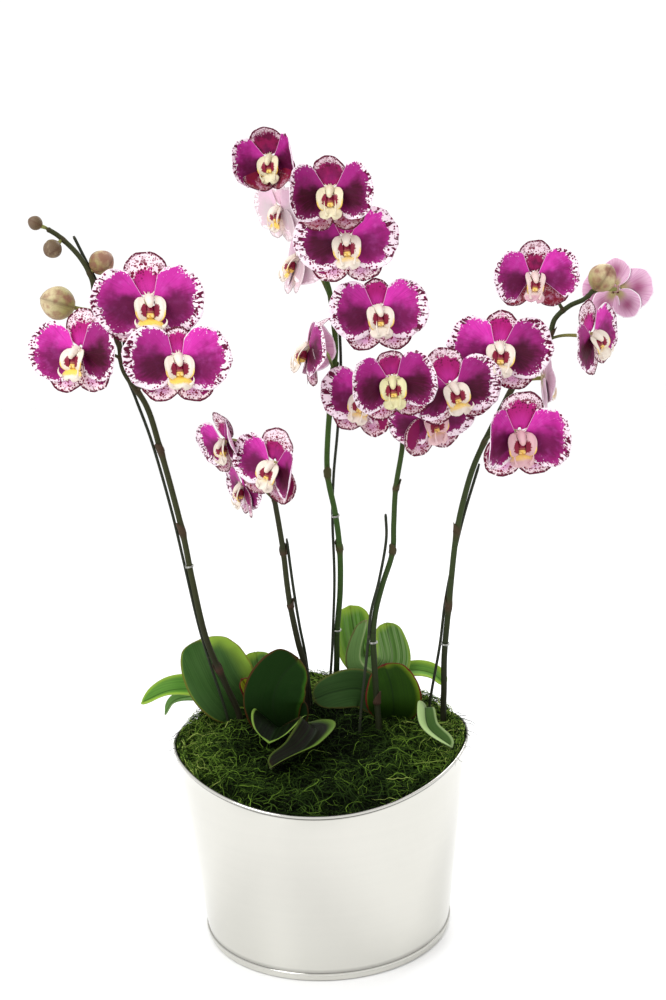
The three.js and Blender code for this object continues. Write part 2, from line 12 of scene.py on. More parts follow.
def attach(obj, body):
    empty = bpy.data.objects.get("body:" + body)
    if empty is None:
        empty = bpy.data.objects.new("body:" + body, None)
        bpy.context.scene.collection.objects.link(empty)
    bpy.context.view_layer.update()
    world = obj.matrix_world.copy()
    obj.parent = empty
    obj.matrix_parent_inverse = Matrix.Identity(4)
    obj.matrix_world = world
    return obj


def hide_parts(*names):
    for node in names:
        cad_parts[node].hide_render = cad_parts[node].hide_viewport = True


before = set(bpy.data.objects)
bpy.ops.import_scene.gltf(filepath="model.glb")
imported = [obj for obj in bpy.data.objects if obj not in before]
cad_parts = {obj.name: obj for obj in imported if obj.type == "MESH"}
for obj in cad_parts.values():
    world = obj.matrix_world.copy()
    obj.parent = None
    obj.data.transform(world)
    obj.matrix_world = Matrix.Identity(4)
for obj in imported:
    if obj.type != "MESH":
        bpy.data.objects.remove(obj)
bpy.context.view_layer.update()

MM = 0.001
ROUND = 2 * math.pi

# ---------------------------------------------------------------- sizes shared with the solids

RIM_RADIUS, RIM_HEIGHT, RIM_DIP, RIM_BEAD = 138, 185.5, 24.5, 2
FOOT_RADIUS, FOOT_BEAD_HEIGHT, FOOT_BEAD = 116, 6, 1.6
WALL, FLOOR = 1.8, 2.5

MOSS_MIDDLE, MOSS_SHOULDER, MOSS_LUMP = 183, 13, 1.5
MOSS_SLOPE = {"front": 0.11, "back": 0.16}
HOLE_FLOOR = 150

STEM_RADIUS = (3.1, 2.2)
STAKE_RADIUS = 1.4
TIE_WIRE, TIE_CLEAR = 1.1, 0.45
PEDICEL_RADIUS = (1.3, 2)
CROWN_RADIUS = (9, 6)

HUB_RADIUS, HUB_FRONT, HUB_BACK = 4.6, -1.6, 4.4

# Each stem's middle line from its hole upwards, its nodes' heights, the heights of its ties, its
# colour, and its stake as sideways offsets from the stem.
STEMS = {
    "a": dict(
        line=[[-78, 33, 150], [-78, 33, 193], [-90, 31, 229], [-105, 28, 273], [-115, 24, 334],
              [-121, 20, 381], [-136, 14, 460], [-146, 10, 502], [-164, 8, 535], [-167, 7, 560],
              [-184, 6, 591], [-186, 5, 616], [-195, 4, 636], [-212, 2, 655], [-222, 0, 662]],
        nodes=[243, 381, 460, 591], ties=[348], colour=(66, 72, 42),
        stake=[[-12, 1, 150], [-12, 1, 170], [-12, 1, 192], [-7, 4, 245], [-4, 3, 285],
               [-4.6, 1.5, 348], [-5.5, 2, 400], [-6, 1, 470], [-6, 3, 510], [0, 8, 536],
               [6, 6, 565], [6, 5, 606], [4, 5, 640], [12, 5, 655]]),
    "b": dict(
        line=[[-12, 45, 150], [-12, 45, 196], [-13, 41, 240], [-18, 37, 264], [-24, 32, 303],
              [-26, 29, 324], [-28, 25, 356], [-32, 20, 394], [-35, 17, 415], [-41, 14, 438],
              [-52, 11, 456], [-62, 9, 464]],
        nodes=[303, 356], ties=[], colour=(62, 68, 42),
        stake=[[4, 8, 150], [4, 8, 170], [4, 8, 192], [3, 5, 250], [4.8, 2, 280], [5.5, 1, 320],
               [5, 1, 370]]),
    "c": dict(
        line=[[17, 80, 150], [17, 80, 200], [19, 76, 234], [20, 73, 261], [25, 68, 307],
              [26, 62, 350], [23, 56, 386], [17, 50, 425], [19, 44, 466], [27, 35, 527],
              [29, 31, 548], [26, 24, 593], [20, 20, 616], [10, 16, 644], [2, 12, 668],
              [-3, 8, 690], [-8, 2, 706]],
        nodes=[350, 425, 527], ties=[266, 384], colour=(68, 104, 42),
        stake=[[-7, -6, 150], [-7, -6, 170], [-7, -6, 196], [-5, -3, 240], [-4.2, -2.6, 266],
               [-6, -3, 320], [-3, 5, 384], [6, 4, 425], [9, 2, 470], [6, 3, 530], [6, 5, 590]]),
    "d": dict(
        line=[[55, 2, 150], [55, 2, 192], [54, 3, 215], [53, 4, 253], [53, 5, 279], [56, 6, 300],
              [63, 8, 324], [74, 9, 356], [76, 10, 382], [79, 12, 415], [86, 14, 450],
              [90, 16, 478], [99, 18, 494], [114, 18, 503]],
        nodes=[213, 356, 415], ties=[271], colour=(62, 88, 40),
        stake=[[-18, -2, 150], [-18, -2, 170], [-18, -2, 190], [-9, -3, 245], [-4.8, -0.8, 271],
               [-4.6, -3, 300], [-5, -4, 330], [-7, -3, 370], [-8, 0, 392]]),
    "e": dict(
        line=[[119, 24, 150], [119, 24, 195], [120, 23, 215], [121, 21, 249], [126, 17, 299],
              [135, 12, 373], [144, 9, 411], [152, 8, 435], [167, 7, 466], [190, 6, 507],
              [212, 5, 536], [222, 4, 550], [227, 3, 565], [240, 2, 576], [254, 1, 582],
              [262, 0, 590]],
        nodes=[299, 373, 550], ties=[262], colour=(64, 80, 44),
        stake=[[-13, 8, 150], [-13, 8, 170], [-13, 8, 192], [-4.6, 2, 262], [-3, 5, 305],
               [4, 4, 380], [5, 3, 435]]),
}

# What most blooms share: how far the top sepal leans (hood), how long it is (crest) and how far
# up it is magenta (cap), its turn (top), the side sepals' fold (lap) and angle (spread), how far
# the two petals reach up (open) and down (low) in radians from their own lines, how much painted
# shade darkens them (dark), the angle they stand at (wing), how wide their margin is (white), how
# maroon the sepals are (gloom) and how far the bloom pales (fade).
BLOOM = dict(hood=-2, crest=1, cap=0.6, top=0, lap=0, spread=143, open=(1.1, 1.14),
             low=(1.44, 1.44), dark=(0.5, 0.5), wing=(88, 88), white=(0, 0), gloom=0, fade=0)


def bloom(at, turn, size, fold, start, **more):
    """Its middle, its turn (yaw to the right, pitch down, roll clockwise, in degrees), its size,
    how far the left and right petals fold forward and where its stalk leaves the stem."""
    return {**BLOOM, **dict(at=at, turn=turn, size=size, fold=fold, start=start), **more}


BLOOMS = {
    "a1": bloom((-132, -34, 596), (0, 0, 0), 1, (8, 8), 560, top=-4, hood=-3, spread=132,
                open=(1.05, 1.3), low=(1.25, 1.3), dark=(0.45, 0.35), white=(0, 0.4)),
    "a2": bloom((-200, -12, 554), (-22, 0, 0), 0.93, (8, 12), 545, top=20, hood=-3, cap=0.7,
                open=(1.4, 1.1), dark=(0.15, 1)),
    "a3": bloom((-109, -48, 546), (3, -2, 3), 0.95, (8, 8), 515, hood=-4, crest=0.66, cap=0.8,
                open=(1.3, 1.4), dark=(0.7, 0.1), white=(0.5, 0.3)),
    "b1": bloom((-76, -2, 467), (-50, 10, -8), 0.72, (5, 24), 462, top=22, hood=10, dark=(0.2, 1),
                white=(1, 0), gloom=0.5),
    "b2": bloom((-32, -38, 449), (-30, 5, 18), 0.82, (0, 40), 425, dark=(0.3, 0.9), white=(0.9, 0),
                gloom=0.6),
    "b3": bloom((-62, 8, 424), (-74, 10, 0), 0.72, (10, -24), 408, white=(1, 0)),
    "c1": bloom((-22, -30, 711), (-12, 10, -5), 0.74, (44, 50), 704, hood=26, crest=0.95, cap=0.8,
                lap=40, open=(1, 0.95), low=(1.2, 1.2), dark=(0.5, 0.7), gloom=0.95),
    "c2": bloom((-16, -2, 671), (-62, 10, 10), 0.7, (10, -20), 680, fade=0.6),
    "c3": bloom((28, -51, 681), (-14, 8, 0), 0.85, (52, 20), 672, hood=14, crest=0.82, cap=0.8,
                open=(1.05, 0.98), dark=(1, 0.9), gloom=0.75),
    "c4": bloom((40, -35, 641), (0, 0, 0), 0.92, (2, 8), 620, hood=0, crest=0.8, dark=(0.85, 0.05),
                white=(0.9, 0.6)),
    "c5": bloom((66, -24, 580), (2, 0, 0), 0.9, (8, 8), 565, top=-5, hood=-4, crest=0.7, cap=0.9,
                open=(1.15, 1.25), dark=(0.6, 0.1), white=(0.7, 0.6)),
    "c6": bloom((4, 0, 548), (-80, -8, 0), 0.85, (-58, -15), 525, hood=-35, lap=-12,
                dark=(0.9, 0.9), gloom=0.3),
    "c7": bloom((-3, 22, 627), (-72, -10, 0), 0.8, (-10, -40), 590, hood=-10, crest=0.65,
                fade=0.55),
    "c8": bloom((53, 8, 501), (-26, 0, 12), 0.86, (5, -50), 490, hood=0, crest=0.7, dark=(0.3, 0.6),
                white=(1, 0.3), gloom=0.3),
    "d1": bloom((75, -52, 520), (0, 8, -6), 0.86, (34, 34), 470, hood=14, crest=0.76, cap=0.8,
                open=(1.12, 1.2), dark=(0.8, 0.9), gloom=0.35),
    "d2": bloom((128, -38, 511), (5, 5, -10), 0.88, (3, 8), 502, top=-12, hood=2, cap=0.75,
                spread=128, open=(0.95, 1.1), dark=(0.8, 0.9), white=(0.2, 0.7), gloom=0.2),
    "d3": bloom((111, -14, 484), (28, 14, -12), 0.9, (-50, 8), 490, hood=8, crest=0.8,
                dark=(0.6, 0.4), white=(0.2, 0.5), gloom=0.3),
    "e1": bloom((200, -44, 603), (3, 5, 3), 0.78, (14, 18), 572, hood=0, crest=0.95, cap=0.55,
                spread=122, open=(1.12, 1.02), low=(1.05, 0.85), wing=(88, 77), dark=(0.5, 0.2),
                gloom=1),
    "e2": bloom((171, -28, 543), (0, 0, 3), 0.95, (5, 8), 520, top=6, hood=-3, crest=0.8, cap=0.8,
                open=(1.3, 1.1), dark=(0, 0.85), white=(0.4, 0.3)),
    "e3": bloom((184, -54, 468), (5, 12, 0), 0.95, (44, 40), 455, hood=8, crest=1.05, cap=0.75,
                dark=(0.5, 0.2)),
    "e4": bloom((257, -14, 549), (48, 0, -22), 0.8, (4, 2), 545, wing=(92, 92), dark=(1, 0.1)),
    "e5": bloom((286, 18, 589), (150, 0, 0), 0.68, (5, 5), 584),
    "e6": bloom((219, 18, 511), (85, 0, 0), 0.75, (5, 5), 500, crest=0.8, fade=0.2),
}
# How single lips differ: turned aside in degrees, with narrow horn-like side lobes, with a
# tint, how high the hooks stand (lift) and how yellow the middle lobe is (gold).
LIPS = {
    "a1": dict(aside=12, lift=0.1), "a2": dict(aside=-8, lift=0.3), "a3": dict(aside=12, lift=0.2),
    "b1": dict(aside=-6, gold=0.15), "b2": dict(gold=0.35), "b3": dict(gold=0.1),
    "c1": dict(aside=-10, gold=0.2, tint=(246, 250, 226)),
    "c3": dict(aside=4, lift=1, gold=0.1, tint=(250, 250, 228)),
    "c4": dict(aside=-3, lift=0.9, gold=0.6), "c5": dict(aside=8, lift=0.9, gold=0.15),
    "c6": dict(gold=0.2), "c8": dict(gold=0.6),
    "d1": dict(aside=-5, lift=1, gold=0.3, tint=(240, 246, 206)),
    "d2": dict(aside=10, lift=0.1, gold=0.75), "d3": dict(gold=0.4, tint=(250, 220, 238)),
    "e1": dict(aside=0, horn=1, gold=0, tint=(246, 232, 240)),
    # e3's pinkish lilac tint is partly its own colour and partly painted shade
    "e2": dict(aside=2, lift=0.8, gold=0.4), "e3": dict(aside=0, gold=0.7, tint=(238, 200, 220)),
    "e4": dict(aside=-6, gold=0.3),
}
HIDDEN_LIPS = ("c2", "c7", "e5", "e6")

BUDS = [
    dict(stem="a", at=(-231, -2, 667), radius=6.5, start=661, blush=1),
    dict(stem="a", at=(-217, -6, 644), radius=8.5, start=652, blush=0.85),
    dict(stem="a", at=(-177, 8, 631), radius=11.5, start=622, blush=0.62),
    dict(stem="a", at=(-217, 0, 597), radius=15.5, start=585, blush=0.3),
    dict(stem="e", at=(268, -6, 600), radius=13, start=588, blush=0.42),
]

DEEP, GREY, PALE, LIT = (24, 50, 16), (84, 118, 66), (150, 180, 120), (142, 174, 58)
# What most leaves share: how blunt the tip is, where the leaf is widest (belly), how much
# painted light shows through its left half, its right half and along its very rim (glow), in
# which colour (lit), and how striped it is.
LEAF = dict(blunt=0.3, belly=1, glow=(0, 0, 0), lit=LIT, stripe=0)


def leaf_form(spine, width, face, fold, upper, under, red, **more):
    """Its spine, full width, where the upper face looks, how steeply each half rises, the
    colours of the upper and under faces and how red the rim is."""
    return {**LEAF, **dict(spine=spine, width=width, face=face, fold=fold, upper=upper,
                           under=under, red=red), **more}


PLANTS = {
    "a": dict(foot=(-68, 52), top=202, leaves=[
        leaf_form([[-70, 51, 192], [-92, 50, 218], [-106, 60, 245], [-114, 72, 263]], 68,
                  (0.25, -0.9, 0.4), 0.2, (60, 92, 44), GREY, 0.5, blunt=0.6,
                  glow=(0.12, 0.95, 0.3)),
        leaf_form([[-68, 54, 188], [-60, 78, 218], [-62, 92, 241]], 36, (0.1, -0.8, 0.6), 0.25,
                  (76, 112, 50), GREY, 0.1, blunt=1, glow=(0.6, 0.3, 0.2)),
        leaf_form([[-66, 50, 190], [-66, 24, 220], [-73, 14, 238]], 17, (0.3, -0.9, 0.3), 0.3,
                  (176, 170, 36), LIT, 1, blunt=1, glow=(0.2, 0.2, 0.3)),
        leaf_form([[-70, 54, 196], [-112, 62, 211], [-147, 65, 213], [-177, 66, 201]], 30,
                  (0, -0.45, 0.9), 0.5, (92, 140, 54), PALE, 0.1, glow=(0.5, 0.2, 0.5)),
        leaf_form([[-70, 55, 192], [-118, 74, 202], [-145, 78, 198], [-156, 80, 184]], 18,
                  (0, -0.3, 0.95), 0.3, (110, 150, 80), PALE, 0.1),
    ]),
    "b": dict(foot=(-36, 6), top=190, leaves=[
        leaf_form([[-38, 7, 182], [-44, 4, 218], [-35, 8, 240], [-18, 16, 255]], 58,
                  (0.1, -0.98, 0.15), 0.15, (20, 46, 10), DEEP, 0.5, blunt=0.7, glow=(0.1, 0.3, 0),
                  lit=(50, 92, 20)),
        leaf_form([[-34, 7, 184], [-22, 8, 202], [-17, 10, 216]], 22, (0.1, -0.98, 0.15), 0.2,
                  (16, 40, 10), DEEP, 0.3),
        # this leaf's nearly black faces are painted shade inside its fold, and its bright rim is
        # painted light
        leaf_form([[-36, 4, 186], [-41, -18, 197], [-48, -38, 192]], 50, (0, -0.3, 0.95), 0.62,
                  (8, 13, 4), (8, 12, 4), 0, glow=(0, 0, 0.9), lit=(116, 146, 62)),
        leaf_form([[-34, 4, 186], [-5, -26, 198], [-16, -54, 191], [-46, -76, 183]], 34,
                  (0.2, 0.2, 0.9), 0.6, (15, 9, 7), (22, 12, 12), 0.1, blunt=1, glow=(0.4, 0, 0.3),
                  lit=(92, 124, 44)),
    ]),
    "c": dict(foot=(66, 104), top=212, leaves=[
        leaf_form([[67, 103, 207], [76, 106, 222], [72, 122, 257]], 38, (0, -0.95, 0.3), 0.25,
                  (88, 128, 58), PALE, 0.1, blunt=0.8, glow=(0.3, 0.2, 0.2), stripe=0.55),
        leaf_form([[64, 104, 207], [44, 106, 222], [52, 118, 262]], 30, (-0.6, 0.7, 0.3), 0.5,
                  (112, 146, 84), (104, 140, 78), 0.5, blunt=0.5, stripe=0.8),
        leaf_form([[65, 106, 207], [44, 126, 228], [36, 142, 272]], 44, (0, -0.95, 0.3), 0.25,
                  (104, 150, 62), PALE, 0.2, blunt=1, belly=1.1, glow=(0.5, 0.4, 0.2), stripe=0.3),
        leaf_form([[68, 104, 204], [98, 108, 209], [117, 106, 205], [130, 102, 194]], 22,
                  (0, -0.5, 0.85), 0.4, (104, 150, 62), (150, 182, 116), 0.1, blunt=0.6,
                  glow=(0.3, 0.3, 0.6)),
    ]),
    "d": dict(foot=(70, 30), top=192, leaves=[
        leaf_form([[70, 27, 184], [71, 19, 206], [69, 23, 224], [64, 34, 240]], 54, (0, -0.97, 0.2),
                  0.15, (34, 62, 8), DEEP, 1, blunt=0.3, glow=(0.15, 0.35, 0.1), lit=(96, 120, 22)),
        leaf_form([[67, 32, 190], [42, 42, 213], [15, 36, 214], [-6, 30, 209]], 38,
                  (-0.1, -0.9, 0.4), 0.15, (46, 72, 34), GREY, 0.3, blunt=0.5,
                  glow=(0.1, 0.15, 0.15), lit=(84, 112, 50)),
    ]),
    "e": dict(foot=(99, 10), top=190, leaves=[
        leaf_form([[99, 8, 187], [98, -10, 209], [99, -30, 197], [118, -54, 186]], 19,
                  (0.3, -0.5, 0.8), 0.55, (60, 86, 40), (150, 178, 124), 0.1, blunt=1, belly=1.5,
                  glow=(0, 1, 0.5), lit=(164, 190, 128)),
    ]),
}
# ---------------------------------------------------------------- meshes


def linear(colour):
    """A colour given as 0 to 255, as Blender's linear values."""
    shares = [c / 255 for c in colour]
    return [s / 12.92 if s <= 0.04045 else ((s + 0.055) / 1.055) ** 2.4 for s in shares]


def unit(v):
    return v / np.maximum(np.linalg.norm(v, axis=-1, keepdims=True), 1e-9)


def smooth(x):
    x = np.clip(x, 0, 1)
    return x * x * (3 - 2 * x)


def stacked(*parts):
    """Numbers and arrays that broadcast together, as the parts of vectors."""
    return np.stack(np.broadcast_arrays(*parts), -1)


def circle(turn, side, other):
    """Points of a unit circle at the turns, in the plane of the two directions."""
    return np.cos(turn) * side + np.sin(turn) * other


def link(name, data):
    made = bpy.data.objects.new(name, data)
    bpy.context.scene.collection.objects.link(made)
    return made


class Solid:
    """Vertices, faces and per-vertex values of one piece, gathered part by part."""

    def __init__(self):
        self.points, self.faces, self.values, self.count = [], [], {}, 0

    def add(self, points, faces, **values):
        """values: a name to one number or vector for all the points, or one for each."""
        points = np.asarray(points, float).reshape(-1, 3)
        for name in {**self.values, **values}:
            given = np.asarray(values.get(name, 0), float)
            width = 3 if given.shape[-1:] == (3,) and given.ndim else 1
            if name in self.values:
                width = self.values[name][0].shape[1]
            given = given.reshape(-1, width) if given.size > width else given.reshape(1, -1)
            before = self.values.setdefault(name, [])
            if not before and self.count:
                before.append(np.zeros((self.count, width)))
            before.append(np.broadcast_to(given, (len(points), width)))
        self.faces += [np.asarray(f, int) + self.count for f in faces]
        self.points.append(points)
        self.count += len(points)

    def piece(self, name, material, slot, replaces=(), sharp=None):
        points = np.concatenate(self.points) * MM
        mesh = bpy.data.meshes.new(name)
        mesh.vertices.add(len(points))
        mesh.vertices.foreach_set("co", points.ravel())
        corners = np.concatenate([f.ravel() for f in self.faces])
        sizes = np.concatenate([np.full(len(f), f.shape[1]) for f in self.faces])
        mesh.loops.add(len(corners))
        mesh.loops.foreach_set("vertex_index", corners)
        mesh.polygons.add(len(sizes))
        mesh.polygons.foreach_set("loop_start", np.concatenate([[0], np.cumsum(sizes)[:-1]]))
        mesh.polygons.foreach_set("use_smooth", np.ones(len(sizes), bool))
        for key, parts in self.values.items():
            data = np.concatenate(parts)
            kind, field = (("FLOAT_VECTOR", "vector") if data.shape[1] == 3 else
                           ("FLOAT", "value"))
            mesh.attributes.new(key, kind, "POINT").data.foreach_set(field, data.ravel())
        mesh.update(calc_edges=True)
        mesh.validate()
        if sharp is not None:
            mesh.set_sharp_from_angle(angle=math.radians(sharp))
        mesh.materials.append(material)
        thing = link(name, mesh)
        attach(thing, "root")
        if replaces:
            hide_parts(*replaces)


def ring_faces(rings, sides):
    """Quads between closed rings of points numbered ring by ring, then a fan to a point before
    the first ring and one past the last, which are numbered after all the rings."""
    index = np.arange(rings * sides).reshape(rings, sides)
    following = np.roll(index, -1, axis=1)
    walls = np.stack([index[:-1], following[:-1], following[1:], index[1:]], -1).reshape(-1, 4)
    first, last = np.full(sides, rings * sides), np.full(sides, rings * sides + 1)
    return [walls, np.concatenate([np.stack([first, following[0], index[0]], -1),
                                   np.stack([last, index[-1], following[-1]], -1)])]


def blade(solid, surface, thick, **values):
    """A closed thin blade around a grid of points. Its upper face is where u x v points."""
    rows, columns, _ = surface.shape
    count = rows * columns
    normal = unit(np.cross(np.gradient(surface, axis=1), np.gradient(surface, axis=0)))
    half = np.broadcast_to(thick, (rows, columns))[..., None] / 2
    upper, lower = surface + normal * half, surface - normal * half
    index = np.arange(count).reshape(rows, columns)
    top = np.stack([index[:-1, :-1], index[:-1, 1:], index[1:, 1:], index[1:, :-1]],
                   -1).reshape(-1, 4)
    edge = np.concatenate([index[0, :-1], index[:-1, -1], index[-1, :0:-1], index[:0:-1, 0]])
    following = np.roll(edge, -1)
    wall = np.stack([edge, edge + count, following + count, following], -1)
    both = {"front": np.repeat([1, 0], count)[:, None]}
    for name, value in values.items():
        value = np.asarray(value, float)
        both[name] = np.tile(value.reshape(count, -1), (2, 1)) if value.ndim >= 2 else value
    solid.add(np.concatenate([upper.reshape(-1, 3), lower.reshape(-1, 3)]),
              [top, top[:, ::-1] + count, wall], **both)


def tube(solid, line, radii, sides, **values):
    """A closed round tube along points, with rounded ends where its radius falls to nothing."""
    line, radii = np.asarray(line, float), np.asarray(radii, float)
    ahead = unit(np.gradient(line, axis=0))
    side = np.cross(ahead[0], [0.31, 0.83, 0.46])
    turn = np.linspace(0, ROUND, sides, endpoint=False)[:, None]
    rings = []
    for centre, forward, radius in zip(line, ahead, radii):
        side = unit(side - forward * np.dot(side, forward))
        rings.append(centre + radius * circle(turn, side, np.cross(forward, side)))
    spread = {}
    for name, value in values.items():
        value = spread[name] = np.asarray(value, float)
        if value.ndim and len(value) == len(line):
            value = value.reshape(len(line), -1)
            spread[name] = np.concatenate([np.repeat(value, sides, 0), value[:1], value[-1:]])
    solid.add(np.concatenate([*rings, line[:1], line[-1:]]), ring_faces(len(line), sides),
              **spread)


class Line:
    """A smooth line through points: the centripetal spline that the solids follow."""

    def __init__(self, points):
        self.points = np.asarray(points, float)

    def at(self, share):
        p = self.points
        last = len(p) - 1
        place = np.clip(np.atleast_1d(np.asarray(share, float)), 0, 1) * last
        i = np.minimum(place.astype(int), last - 1)
        w = (place - i)[:, None]
        ends = np.concatenate([[2 * p[0] - p[1]], p, [2 * p[-1] - p[-2]]])
        x0, x1, x2, x3 = (ends[i + k] for k in range(4))
        d0, d1, d2 = (np.sqrt(np.linalg.norm(b - a, axis=1))[:, None]
                      for a, b in ((x0, x1), (x1, x2), (x2, x3)))
        t1 = ((x1 - x0) / d0 - (x2 - x0) / (d0 + d1) + (x2 - x1) / d1) * d1
        t2 = ((x2 - x1) / d1 - (x3 - x1) / (d1 + d2) + (x3 - x2) / d2) * d1
        return (x1 + t1 * w + (3 * (x2 - x1) - 2 * t1 - t2) * w ** 2
                + (2 * (x1 - x2) + t1 + t2) * w ** 3)

    def share_at(self, height):
        low, high = 0.0, 1.0
        for _ in range(30):
            middle = (low + high) / 2
            if self.at(middle)[0, 2] < height:
                low = middle
            else:
                high = middle
        return low

    def place(self, height):
        return self.at(self.share_at(height))[0]


# ---------------------------------------------------------------- materials


class Value:
    """An output of a material's nodes. Arithmetic with it adds the nodes that it needs."""

    def __init__(self, shade, socket):
        self.shade, self.socket = shade, socket

    def math(self, operation, *others):
        return self.shade.node("Math", [self, *others], operation=operation)[0]

    def __add__(self, other):
        return self.math("ADD", other)

    def __sub__(self, other):
        return self.math("SUBTRACT", other)

    def __mul__(self, other):
        return self.math("MULTIPLY", other)

    def most(self, other):
        return self.math("MAXIMUM", other)

    def ramp(self, low, high, to=(0, 1)):
        """A soft step: to[0] below low and to[1] above high."""
        return self.shade.node("MapRange", [self, low, high, *to],
                               interpolation_type="SMOOTHSTEP")[0]

    def hill(self, middle, spread):
        """1 at the middle, falling to 0 at the spread on either side."""
        return (self - middle).math("ABSOLUTE").ramp(0, spread, (1, 0))

    def parts(self):
        return self.shade.node("SeparateXYZ", [self])


class Shade:
    """A procedural material, built node by node."""

    def __init__(self, name, roughness=0.5, **settings):
        self.material = bpy.data.materials.new(name)
        self.material.use_nodes = True
        self.tree = self.material.node_tree
        self.surface = self.tree.nodes["Principled BSDF"]
        for key, value in dict(Roughness=roughness, **settings).items():
            self.surface.inputs[key.replace("_", " ")].default_value = value

    def feed(self, socket, value):
        if isinstance(value, Value):
            self.tree.links.new(value.socket, socket)
        elif isinstance(value, tuple) and len(socket.default_value) == 4:
            socket.default_value = (*linear(value), 1)
        else:
            socket.default_value = value

    def node(self, kind, inputs=(), **settings):
        """A node's outputs. inputs: in the sockets' order, or by their names or numbers."""
        made = self.tree.nodes.new("ShaderNode" + kind)
        for key, value in settings.items():
            setattr(made, key, value)
        for key, value in (inputs if isinstance(inputs, dict) else dict(enumerate(inputs))).items():
            self.feed(made.inputs[key], value)
        return [Value(self, socket) for socket in made.outputs]

    def attribute(self, name, output=1):
        return self.node("Attribute", attribute_name=name)[output]

    def number(self, name):
        return self.attribute(name, 2)

    def tint(self, name):
        return self.attribute(name, 0)

    def place(self):
        """Where a point lies in its own object."""
        return self.node("TexCoord")[3]

    def join(self, x, y, z):
        return self.node("CombineXYZ", [x, y, z])[0]

    def mix(self, share, a, b, blend="MIX"):
        return self.node("Mix", {"Factor": share, 6: a, 7: b}, data_type="RGBA",
                         blend_type=blend)[2]

    def layers(self, skin, *coats):
        """A skin under coats, each with its share and its colour."""
        for share, colour in coats:
            skin = self.mix(share, skin, colour)
        return skin

    def noise(self, vector, scale, detail=2.0, roughness=0.5):
        return self.node("TexNoise", {"Vector": vector, "Scale": scale, "Detail": detail,
                                      "Roughness": roughness})[0]

    def spots(self, vector, scale, share, radius):
        """Round spots in some of the cells of a pattern: 1 inside a spot."""
        away, cell, *_ = self.node("TexVoronoi", {"Vector": vector, "Scale": scale}, feature="F1")
        chance, reach, _ = cell.parts()
        inside = (reach * radius - away).ramp(-0.02, 0.05)
        return inside * chance.math("LESS_THAN", share)

    def finish(self, colour, height=None, distance=0, strength=0.5):
        """The material with this colour, and with a relief where a height is given."""
        self.feed(self.surface.inputs["Base Color"], colour)
        if height is not None:
            bump = self.node("Bump", {"Strength": strength, "Distance": distance,
                                      "Height": height})[0]
            self.feed(self.surface.inputs["Normal"], bump)
        return self.material


